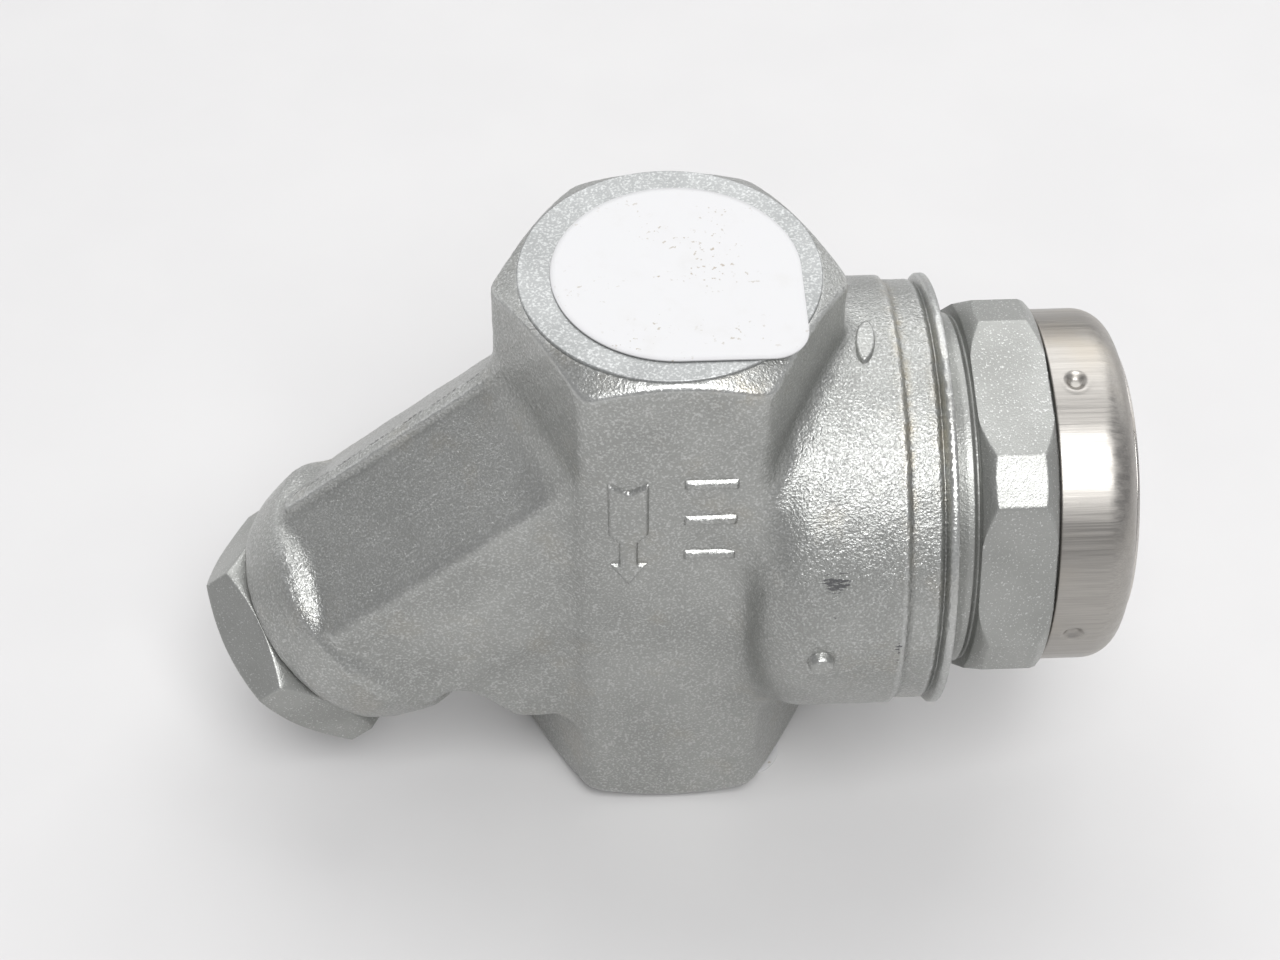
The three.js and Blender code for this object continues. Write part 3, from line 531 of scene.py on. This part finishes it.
def face_paint():
    """Silver paint over a turned face: fine sparkle."""
    f = Finish("face_paint")
    flakes = f.noise(f.sized(0.3), 1.0, 0.5)
    cloud = f.noise(f.sized(10), 3.0, 0.55)
    color = f.blend(f.spread(cloud, 0.3, 0.7), (0.29, 0.298, 0.295, 1), (0.33, 0.338, 0.335, 1))
    glint = f.maths("MULTIPLY", f.spread(flakes, 0.45, 0.75), 0.35)
    color = f.blend(glint, color, (0.82, 0.83, 0.83, 1))
    metal = f.spread(flakes, 0.4, 0.7, 0.7, 0.9)
    return f.end(color, f.spread(cloud, 0.3, 0.7, 0.45, 0.38), metal, f.bump(flakes, 0.06, 0.6))


turned_paint = face_paint()
for name, face_z, inward in (("outlet_port_face", LABEL_T, 1), ("inlet_port_face", BODY_TOP, -1)):
    face = port_face(name, face_z, inward)
    face.data.materials.append(turned_paint)
    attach(face, "body")


# ---- marks on the forging ----
# Raised flow arrow and three plain bars on the front flat, a locating nub low on the
# barrel and the stub of a trimmed flash where barrel and column meet. All are forged
# with the body, so they sink into it and share its paint.

MARK_H = 0.5
ARROW_X, ARROW_TOP, ARROW_L = -5.55, 64.3, 18.3
ARROW_HALF, ARROW_NECK, ARROW_TAIL, ARROW_HEAD, ARROW_NOTCH = 2.45, 1.2, 9.0, 4.0, 1.5
BAR_X, BAR_W, BAR_H, BAR_TOP, BAR_STEP, BAR_COUNT = 4.2, 6.4, 1.5, 63.7, 6.2, 3
MARK_SLOPE = 0.45
MARK_SINK = 0.5
MARK_PITCH = 0.16


def raised_patch(name, across, up, height, place):
    """Closed slab whose front is a height over a grid of across and up; place turns
    (across, up, height) into a point. The back is the same grid, sunk into the body."""
    a, b = np.meshgrid(across, up, indexing="ij")
    front = place(a, b, height(a, b))
    back = place(a, b, np.full(a.shape, -3 * MARK_SINK))
    n, m = a.shape
    ids = np.arange(n * m).reshape(n, m)
    sheet = np.stack([ids[:-1, :-1], ids[1:, :-1], ids[1:, 1:], ids[:-1, 1:]], -1).reshape(-1, 4)
    rim = np.concatenate([ids[:-1, 0], ids[-1, :-1], ids[:0:-1, -1], ids[0, :0:-1]])
    nxt = np.roll(rim, -1)
    walls = np.stack([rim, rim + n * m, nxt + n * m, nxt], 1)
    faces = np.concatenate([sheet, sheet[:, ::-1] + n * m, walls])
    points = np.concatenate([front.reshape(-1, 3), back.reshape(-1, 3)])
    return face_outwards(mesh_piece(name, points, faces))


def on_front_flat(a, b, h):
    y = -COLUMN_FLAT - h
    return np.stack([a, y + waves(a, -COLUMN_FLAT, b), b], -1)


def embossed(distance):
    """Height from a distance to the outline: full inside, sunk outside, a soft flank."""
    worn = smooth_step(-distance, -MARK_SLOPE, MARK_SLOPE)
    return -MARK_SINK + (MARK_SINK + MARK_H) * worn


ARROW_SIDE = [
    (ARROW_HALF, ARROW_TOP), (ARROW_HALF, ARROW_TOP - ARROW_TAIL),
    (ARROW_NECK, ARROW_TOP - ARROW_TAIL - 1.4), (ARROW_NECK, ARROW_TOP - ARROW_L + ARROW_HEAD),
    (ARROW_HALF, ARROW_TOP - ARROW_L + ARROW_HEAD),
]
ARROW = ([(0, ARROW_TOP - ARROW_NOTCH)] + ARROW_SIDE + [(0, ARROW_TOP - ARROW_L)]
         + [(-x, z) for x, z in reversed(ARROW_SIDE)])
marks = [raised_patch(
    "flow_arrow",
    np.arange(-4, 4.01, MARK_PITCH) + ARROW_X,
    np.arange(ARROW_TOP - ARROW_L - 1.2, ARROW_TOP + 1.2, MARK_PITCH),
    lambda a, b: embossed(polygon(ARROW, a - ARROW_X, b)),
    on_front_flat,
)]
for k in range(BAR_COUNT):
    middle = BAR_TOP - k * BAR_STEP
    marks.append(raised_patch(
        f"batch_bar_{k + 1}",
        np.arange(-BAR_W / 2 - 1.2, BAR_W / 2 + 1.2, MARK_PITCH) + BAR_X,
        np.arange(-BAR_H / 2 - 1.2, BAR_H / 2 + 1.2, MARK_PITCH) + middle,
        lambda a, b: embossed(np.maximum(np.abs(a - BAR_X) - BAR_W / 2, np.abs(b - middle) - BAR_H / 2)),
        on_front_flat,
    ))


def on_barrel_side(degrees):
    """Places (along X, around, height) on the barrel, centred at an angle from +Z to +Y."""
    def place(a, b, h):
        turn = np.radians(degrees) + b / BARREL_R
        r = BARREL_R + h - waves(a, BARREL_R * np.sin(turn), BARREL_Z + BARREL_R * np.cos(turn))
        return np.stack([a, r * np.sin(turn), BARREL_Z + r * np.cos(turn)], -1)
    return place


def domed(height, away, foot, crown):
    """Height of a lump: full within the crown, eased down to sunk at the foot."""
    return (height + MARK_SINK) * smooth_step(-away, -foot, -crown) - MARK_SINK


NUB_X, NUB_R, NUB_H, NUB_DEG = 17.4, 2.0, 1.1, 269
marks.append(raised_patch(
    "locating_nub",
    np.arange(-2.6, 2.61, MARK_PITCH) + NUB_X,
    np.arange(2.6, -2.61, -MARK_PITCH),
    lambda a, b: domed(NUB_H, np.hypot(a - NUB_X, b), NUB_R, NUB_R * 0.6),
    on_barrel_side(NUB_DEG),
))
PAD_X, PAD_DEG, PAD_LONG, PAD_WIDE, PAD_H = 23.5, -1.4, 3.1, 1.1, 0.6
marks.append(raised_patch(
    "trimmed_flash",
    np.arange(-2.6, 2.61, MARK_PITCH) + PAD_X,
    np.arange(4.6, -4.61, -MARK_PITCH),
    lambda a, b: domed(PAD_H, np.hypot((a - PAD_X - 0.12 * b) / PAD_WIDE, b / PAD_LONG), 1.25, 0.95),
    on_barrel_side(PAD_DEG),
))
mark_paint = silver_paint("silver_paint_marks", with_numbers=False)
for mark in marks:
    mark.data.materials.append(mark_paint)
    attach(mark, "body")


# ---- seal labels ----
# White polyethylene film discs that close both ports until the trap is fitted. Each has
# one square corner to pull it off by, and is stuck on by hand, a little off centre.

LABEL_R, LABEL_CORNER, LABEL_FILM = 14.6, 4.4, 0.25
LABEL_X, LABEL_Y = 0.7, -0.3


def label_reach(turn):
    """Distance from the middle to the rim: a circle, but a rounded square past +X and -Y."""
    c, s = np.cos(turn), -np.sin(turn)
    square = LABEL_R / np.maximum(np.maximum(c, s), 1e-6)
    inner = LABEL_R - LABEL_CORNER
    along = (c + s) * inner
    arc = along + np.sqrt(np.maximum(along ** 2 - 2 * inner ** 2 + LABEL_CORNER ** 2, 0))
    in_corner = (square * c > inner) & (square * s > inner)
    return np.where((c > 0) & (s > 0), np.where(in_corner, np.minimum(arc, square), square), LABEL_R)


def seal_label(name, bottom):
    turn = np.linspace(0, 2 * np.pi, 240, endpoint=False)
    reach = label_reach(turn)
    z0, z1 = bottom, bottom + LABEL_FILM

    def ring(share, z, in_by=0.0):
        r = share * (reach - in_by)
        x, y = r * np.cos(turn), r * np.sin(turn)
        return np.stack([LABEL_X + x, LABEL_Y + y, np.full(len(turn), z)], 1)

    rings = [np.array([[LABEL_X, LABEL_Y, z0]])]
    rings += [ring(s, z0) for s in (0.3, 0.7, 0.95)] + [ring(1, z0, 0.05), ring(1, z0 + 0.05)]
    rings += [ring(1, z1 - 0.05), ring(1, z1, 0.05)]
    for s in (0.95, 0.88, 0.8, 0.7, 0.6, 0.5, 0.4, 0.3, 0.2, 0.1):
        ridge = ring(s, z1)
        ridge[:, 2] -= 0.04 * (1 - smooth_step(s, 0.75, 0.9)) * (0.5 + 0.5 * np.sin(5 * turn + 9 * s))
        rings.append(ridge)
    rings.append(np.array([[LABEL_X, LABEL_Y, z1 - 0.03]]))
    return face_outwards(mesh_piece(name, *closed_rings(rings)))


def seal_film():
    """White film, faintly cockled, with blasting dust stuck to it in specks and smears."""
    f = Finish("seal_film")
    speck = f.spread(f.noise(f.sized(0.7), 2.0, 0.6), 0.62, 0.68)
    patch = f.spread(f.noise(f.sized(9), 3.0, 0.6), 0.48, 0.6)
    dust = f.maths("MULTIPLY", speck, patch)
    haze = f.spread(f.noise(f.sized(4), 4.0, 0.6), 0.5, 0.8, 0, 0.12)
    color = f.blend(haze, (0.57, 0.57, 0.575, 1), (0.42, 0.39, 0.34, 1))
    color = f.blend(f.maths("MULTIPLY", dust, 0.75), color, (0.30, 0.25, 0.18, 1))
    bump = f.bump(f.noise(f.sized(6), 2.0, 0.5), 0.12, 0.5)
    return f.end(color, 0.38, 0.0, bump, Coat_Weight=0.15, Coat_Roughness=0.3)


film = seal_film()
for name, bottom in (("outlet_seal_label", 0.0), ("inlet_seal_label", BODY_TOP + 0.05)):
    label = seal_label(name + "_film", bottom)
    label.data.materials.append(film)
    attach(label, "body")
    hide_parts(name)


# ---- cover ----
# Turned from bar: a nose that clamps the disc module, an M42 fine thread, a collar that
# the spanner hexagon stands on, and a spigot that carries the cap. The hexagon's corners
# are cut by six short flats. Painted silver with the body, its thread left bare.

COVER_AF, COVER_TRIM = 46.0, 24.75
COVER_TURN_DEG = 49
COVER_HEX_X, COVER_HEX_L = 36.6, 9.2
COVER_FACE_R, COVER_CHAMFER = 23.45, 1.45
THREAD_R, THREAD_PITCH, THREAD_DEPTH = 21.0, 1.5, 0.75
SPIGOT_R, GROOVE_R = 21.1, 19.7


def on_barrel(x, r, turn):
    """Turned about the barrel's axis, from -Y towards +Z."""
    return np.stack([x, -r * np.cos(turn), BARREL_Z + r * np.sin(turn)], -1)


def on_branch(t, r, turn):
    """Turned about the branch's axis, from its ridge towards +Y."""
    u, v = r * np.cos(turn), r * np.sin(turn)
    return np.stack([
        t * BRANCH_DIR[0] + u * BRANCH_UP[0], v + 0 * t, BRANCH_Z + t * BRANCH_DIR[2] + u * BRANCH_UP[2],
    ], -1)


def turned_piece(name, rows, turns, place):
    """Rings of a turned piece: each row is (place along, radius), either may vary round."""
    rings = []
    for along, radius in rows:
        a = np.broadcast_to(along, turns.shape)
        r = np.broadcast_to(radius, turns.shape)
        if r.max() < 1e-9:
            rings.append(place(a[:1], r[:1], turns[:1]))
        else:
            rings.append(place(a, r, turns))
    return face_outwards(mesh_piece(name, *closed_rings(rings)))


def points_of(piece):
    """The piece's points in millimetres."""
    co = np.empty(len(piece.data.vertices) * 3)
    piece.data.vertices.foreach_get("co", co)
    return co.reshape(-1, 3) / MM


def thread_rows(start, end, turns, crest, pitch, depth):
    """Right-hand vee thread: the radius falls and rises once a pitch, and the pattern moves
    along by a pitch for each turn, running out at both ends."""
    rows = []
    for x in np.arange(start, end, pitch / 8):
        wave = np.abs(((x - pitch * turns / (2 * np.pi)) / pitch) % 1.0 - 0.5) * 2
        fade = smooth_step(x, start, start + pitch) * smooth_step(-x, -end, -end + pitch * 0.6)
        rows.append((x, crest - depth * fade * smooth_step(wave, 0.1, 0.95)))
    return rows


def hexagon_reach(turns, flat, corner_turn):
    """Exact distance to the nearest of six flats with a corner at corner_turn."""
    off = (turns - corner_turn) % (np.pi / 3) - np.pi / 6
    return flat / np.cos(off)


def cover_hex_rows(turns):
    """The hexagon's side between two cones, as rows whose place and radius vary round."""
    turn = np.radians(COVER_TURN_DEG)
    flats = hexagon_reach(turns, COVER_AF / 2, turn)
    side = np.minimum(flats, hexagon_reach(turns, COVER_TRIM, turn + np.pi / 6))
    face = np.minimum(side, COVER_FACE_R)
    deep = (side - face) * COVER_CHAMFER / (COVER_TRIM - COVER_FACE_R)
    x0, x1 = COVER_HEX_X, COVER_HEX_X + COVER_HEX_L
    edge = 0.1
    rows = [(x0, 22.6), (x0, face - 2 * edge), (x0, face - edge)]
    rows += [(x0 + edge + (deep - edge) * s, face + (side - face) * s) for s in (0.06, 0.5, 0.94)]
    rows += [(x0 + deep + edge, side), (x0 + deep + 3 * edge, side)]
    rows += [(x0 + deep + (COVER_HEX_L - 2 * deep) * s, side) for s in (0.25, 0.5, 0.75)]
    rows += [(x1 - deep - 3 * edge, side), (x1 - deep - edge, side)]
    rows += [(x1 - edge - (deep - edge) * s, face + (side - face) * s) for s in (0.94, 0.5, 0.06)]
    rows += [(x1, face - edge), (x1, face - 2 * edge), (x1, 22.6)]
    return rows


cover_turns = np.linspace(0, 2 * np.pi, 720, endpoint=False)
nose = [(30.4, 0), (30.4, 15.9), (17.15, 15.9), (17.15, 18.2), (20.95, 18.2), (21.0, 20.2)]
collar = [(33.55, 20.3), (33.6, 21.8), (35.2, 22.25), (35.9, 22.3), (36.25, 21.9), (36.6, 21.9),
          (36.6, 22.5)]
spigot = [(45.8, 22.5), (45.8, SPIGOT_R), (46.9, SPIGOT_R), (46.9, GROOVE_R), (50.1, GROOVE_R),
          (50.1, SPIGOT_R), (51.2, SPIGOT_R), (51.6, 20.6), (51.6, 0)]
cover_rows = list(rounded(nose, 0.3))
cover_rows += thread_rows(21.4, 33.2, cover_turns, THREAD_R, THREAD_PITCH, THREAD_DEPTH)
cover_rows += list(rounded(collar, 0.15))
cover_rows += cover_hex_rows(cover_turns)
cover_rows += list(rounded(spigot, 0.15))
cover = turned_piece("spanner_cover", cover_rows, cover_turns, on_barrel)
number_on(cover, "bare", smooth_step(-points_of(cover)[:, 0], -33.7, -33.5))


def cover_paint():
    """The same silver paint on a turned surface: fine flakes, no leathery grain."""
    f = Finish("cover_paint")
    flakes = f.noise(f.sized(0.24), 1.0, 0.5)
    cloud = f.noise(f.sized(11), 3.0, 0.55)
    skin = f.noise(f.sized(0.8), 3.0, 0.55)
    bare = f.number("bare")
    color = f.blend(f.spread(cloud, 0.3, 0.7), (0.33, 0.335, 0.32, 1), (0.39, 0.395, 0.38, 1))
    glint = f.spread(flakes, 0.6, 0.72)
    color = f.blend(f.maths("MULTIPLY", glint, 0.55), color, (0.84, 0.85, 0.84, 1))
    color = f.blend(bare, color, (0.34, 0.33, 0.31, 1))
    metal = f.maths("MAXIMUM", f.spread(flakes, 0.45, 0.7, 0.72, 0.92), bare)
    rough = f.spread(cloud, 0.3, 0.7, 0.48, 0.40)
    fine = f.bump(flakes, 0.07, 0.7, f.bump(skin, 0.08, 0.5))
    return f.end(color, rough, metal, fine)


cover.data.materials.append(cover_paint())
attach(cover, "cover")
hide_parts("cover")


# ---- air-jacket cap ----
# Deep-drawn stainless cup that keeps a layer of still air over the cover. It is brushed
# lengthways and held by four dimples, punched into the spigot's groove.

CAP_R, CAP_START, CAP_SIDE_END, CAP_END, CAP_CROWN = 22.4, 46.2, 52.0, 56.1, 18.7
CAP_WALL = 0.7
DIMPLE_X, DIMPLE_R, DIMPLE_DEPTH, DIMPLE_DEG, DIMPLE_COUNT = 49.2, 1.5, 0.7, -8.2, 4


def cap_profile(inset):
    """The cup's side, a quarter of an ellipse for its shoulder, and its flat end."""
    a = np.linspace(0, np.pi / 2, 14)
    side = [(x, CAP_R - inset) for x in np.arange(CAP_START + 0.2, CAP_SIDE_END, 0.2)]
    rise = CAP_END - CAP_SIDE_END - inset
    fall = CAP_R - CAP_CROWN - inset
    return side + [(CAP_SIDE_END + rise * np.sin(v), CAP_CROWN + fall * np.cos(v)) for v in a]


cap_turns = np.linspace(0, 2 * np.pi, 720, endpoint=False)
off = (cap_turns - np.radians(DIMPLE_DEG) + np.pi / 4) % (np.pi / 2) - np.pi / 4


def dimpled(x, r):
    """Radius pressed in round each dimple, with a slight raised lip about it."""
    d = np.hypot(x - DIMPLE_X, off * CAP_R)
    dent = DIMPLE_DEPTH * (1 - smooth_step(d, 0.3 * DIMPLE_R, DIMPLE_R))
    lip = 0.04 * np.exp(-((d - DIMPLE_R * 1.1) / 0.25) ** 2)
    return r - dent + lip


floor_x = CAP_END - CAP_WALL
cap_rows = [(floor_x, 0), (floor_x, 9), (floor_x, 17)]
cap_rows += [(x, dimpled(x, r)) for x, r in reversed(cap_profile(CAP_WALL))]
cap_rows += [(CAP_START + CAP_WALL / 2, CAP_R - CAP_WALL), (CAP_START + 0.08, CAP_R - CAP_WALL + 0.12),
             (CAP_START, CAP_R - CAP_WALL / 2), (CAP_START + 0.06, CAP_R - 0.1)]
cap_rows += [(x, dimpled(x, r)) for x, r in cap_profile(0)]
cap_rows += [(CAP_END, 18.45), (CAP_END - 0.12, 18.3), (CAP_END - 0.12, 17.9), (CAP_END, 17.75),
             (CAP_END, 9), (CAP_END, 0)]
cap = turned_piece("brushed_cap", cap_rows, cap_turns, on_barrel)


def brushed_steel(name, along, tint, rough):
    """Stainless brushed one way: hair lines stretched along the stroke, in tone and bump."""
    f = Finish(name)
    hairs = f.noise(f.sized(*along), 3.0, 0.65)
    broad = f.noise(f.sized(*(v * 4 for v in along)), 2.0, 0.6)
    cloud = f.noise(f.sized(12), 3.0, 0.5)
    light = tuple(c * 1.1 for c in tint) + (1,)
    dark = tuple(c * 0.9 for c in tint) + (1,)
    color = f.blend(f.spread(hairs, 0.3, 0.7), dark, light)
    color = f.blend(f.spread(cloud, 0.45, 0.75, 0, 0.35), color, (0.44, 0.38, 0.29, 1))
    roughness = f.spread(broad, 0.3, 0.7, rough - 0.06, rough + 0.08)
    bump = f.bump(hairs, 0.012, 0.5, f.bump(broad, 0.02, 0.3))
    return f.end(color, roughness, 1.0, bump)


cap.data.materials.append(
    brushed_steel("brushed_stainless", (9, 0.16, 0.16), (0.41, 0.393, 0.368), 0.38))
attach(cap, "air_jacket")
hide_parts("air_jacket_cap")


# ---- end plate ----
# A thin round stainless plate set in the cap's end, where the maker would stamp the size.
# It is left blank, with a turned line inside its rim.

PLATE_R, PLATE_T = 18.2, 0.6
back_x, front_x = CAP_END + 0.05, CAP_END + 0.05 + PLATE_T
LINE_OUT, LINE_IN, LINE_DEPTH = 16.6, 15.9, 0.15
plate_rows = rounded([
    (back_x, 0), (back_x, PLATE_R - 0.2), (back_x + 0.25, PLATE_R), (front_x, PLATE_R - 0.25),
    (front_x, LINE_OUT), (front_x - LINE_DEPTH, LINE_OUT - 0.2), (front_x - LINE_DEPTH, LINE_IN + 0.2),
    (front_x, LINE_IN), (front_x, 8), (front_x, 0),
], 0.08)
plate = turned_piece("blank_end_plate", plate_rows, cap_turns[::3], on_barrel)
plate.data.materials.append(brushed_steel("plate_stainless", (0.2, 0.2, 8), (0.62, 0.60, 0.57), 0.3))
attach(plate, "air_jacket")
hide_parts("blank_nameplate")


# ---- screen holder ----
# Turned hexagon plug that closes the strainer branch and carries the screen in its bore.
# Painted with the body, thread left bare, sealed by a flat ring.

HOLDER_AF, HOLDER_DEG, HOLDER_T0, HOLDER_T1 = 29.0, 51, 59.3, 66.1
HOLDER_WASHER = 14.3
holder_turns = np.linspace(0, 2 * np.pi, 480, endpoint=False)
side = hexagon_reach(holder_turns, HOLDER_AF / 2, np.radians(HOLDER_DEG))
fall = np.tan(np.radians(30))
spare = side - HOLDER_WASHER
low = HOLDER_T0 + np.maximum(spare, 0) * fall
high = HOLDER_T1 - np.maximum(spare, 0) * fall
holder_rows = list(rounded([(58.5, 0), (58.5, 9.8), (47.5, 9.8), (47.5, 11.3)], 0.2))
holder_rows += thread_rows(47.6, 58.6, holder_turns, 11.9, THREAD_PITCH, 0.7)
holder_rows += list(rounded([(58.7, 11.9), (59.3, 11.9), (59.3, 13.9)], 0.15))
holder_rows += [(HOLDER_T0, HOLDER_WASHER - 0.05)]
holder_rows += [(HOLDER_T0 + spare * fall * s, HOLDER_WASHER + spare * s) for s in (0.1, 0.5, 0.9)]
holder_rows += [(low + 0.12, side), (low + 0.35, side), ((low + high) / 2, side)]
holder_rows += [(high - 0.35, side), (high - 0.12, side)]
holder_rows += [(HOLDER_T1 - spare * fall * s, HOLDER_WASHER + spare * s) for s in (0.9, 0.5, 0.1)]
holder_rows += [(HOLDER_T1, HOLDER_WASHER - 0.05), (HOLDER_T1, 13.8), (HOLDER_T1, 8), (HOLDER_T1, 0)]
holder = turned_piece("hexagon_plug", holder_rows, holder_turns, on_branch)
holder_t = (points_of(holder) - (0, 0, BRANCH_Z)) @ BRANCH_DIR
number_on(holder, "bare", smooth_step(-holder_t, -59.35, -59.2))
holder.data.materials.append(cover.data.materials[0])
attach(holder, "screen_holder")
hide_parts("screen_holder")


# ---- inner pieces ----
# Disc module, gaskets and strainer stay as the frame has them, hidden inside the body,
# and take the finish of their own metal.

def inner_steel(name, tint, rough, grain):
    f = Finish(name)
    mark = f.noise(f.sized(grain), 3.0, 0.6)
    cloud = f.noise(f.sized(5), 2.0, 0.5)
    dark = tuple(c * 0.75 for c in tint) + (1,)
    color = f.blend(f.spread(cloud, 0.3, 0.7), dark, tuple(tint) + (1,))
    return f.end(color, f.spread(mark, 0.3, 0.7, rough, rough + 0.15), 1.0, f.bump(mark, 0.02, 0.5))


ground = inner_steel("ground_stainless", (0.55, 0.55, 0.56), 0.16, 0.4)
soft = inner_steel("soft_gasket_steel", (0.42, 0.42, 0.42), 0.35, 0.6)
brass = inner_steel("bimetal_strip", (0.60, 0.50, 0.34), 0.3, 0.5)
woven = inner_steel("woven_wire", (0.46, 0.46, 0.45), 0.4, 0.25)
for names, metal in (
    (("module_valve_seat", "valve_disc", "module_inner_cover", "strainer_screen", "screen_end_ring_inner",
      "screen_end_ring_outer"), ground),
    (("inner_module_gasket", "outer_module_gasket", "module_snap_ring", "screen_holder_gasket"), soft),
    (("air_vent_ring",), brass),
    (("strainer_mesh_sleeve",), woven),
):
    for name in names:
        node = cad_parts[name]
        node.data.materials.clear()
        node.data.materials.append(metal)


# ---- floor, light and camera ----
# A plain near-white table, a strong soft panel overhead in front, a larger one behind, a
# weak one at each back corner, and a white surround.

def floor_finish():
    f = Finish("pale_table")
    weave = f.noise(f.sized(30), 3.0, 0.5)
    color = f.blend(f.spread(weave, 0.3, 0.7), (0.608, 0.603, 0.602, 1), (0.622, 0.617, 0.615, 1))
    return f.end(color, 0.7, 0.0, f.bump(f.noise(f.sized(1.5), 2.0, 0.5), 0.03, 0.3))


TABLE_HALF = 2500
table_corners = np.array([(-1, -1, 0), (1, -1, 0), (1, 1, 0), (-1, 1, 0)]) * TABLE_HALF
floor = mesh_piece("table_top", table_corners, np.array([[0, 1, 2, 3]]))
floor.data.materials.append(floor_finish())


def soft_light(name, place, target, size, power):
    lamp = bpy.data.lights.new(name, "AREA")
    lamp.shape = "RECTANGLE"
    lamp.size, lamp.size_y = size
    lamp.energy = power
    lit = bpy.data.objects.new(name, lamp)
    lit.location = Vector(place)
    lit.rotation_euler = (Vector(target) - Vector(place)).to_track_quat("-Z", "Y").to_euler()
    bpy.context.scene.collection.objects.link(lit)


middle = (0, 0, 0.04)
soft_light("front_ceiling_panel", (0.12, -0.52, 0.92), middle, (0.62, 0.62), 9.0)
soft_light("back_wall_panel", (0.1, 0.66, 0.84), middle, (1.2, 0.95), 7.2)
soft_light("back_left_panel", (-1.0, 0.72, 0.5), middle, (0.9, 0.7), 2.4)
soft_light("back_right_panel", (1.05, 0.72, 0.46), middle, (0.9, 0.7), 2.0)

world = bpy.data.worlds.new("white_room")
world.use_nodes = True
world.node_tree.nodes["Background"].inputs["Color"].default_value = (0.97, 0.97, 1.0, 1)
world.node_tree.nodes["Background"].inputs["Strength"].default_value = 0.36
bpy.context.scene.world = world
bpy.context.scene.view_settings.view_transform = "Standard"

CAMERA_AT = Vector((-12.46, -206.3, 273.6)) * MM
CAMERA_PITCH, CAMERA_YAW, CAMERA_ROLL = np.radians(48.0), 0.044, 0.003
lens = bpy.data.cameras.new("camera")
lens.lens = 68.36
lens.sensor_width = 36
camera = bpy.data.objects.new("camera", lens)
camera.matrix_world = (
    Matrix.Translation(CAMERA_AT) @ Matrix.Rotation(-CAMERA_YAW, 4, "Z")
    @ Matrix.Rotation(np.pi / 2 - CAMERA_PITCH, 4, "X") @ Matrix.Rotation(CAMERA_ROLL, 4, "Z")
)
bpy.context.scene.collection.objects.link(camera)
bpy.context.scene.camera = camera
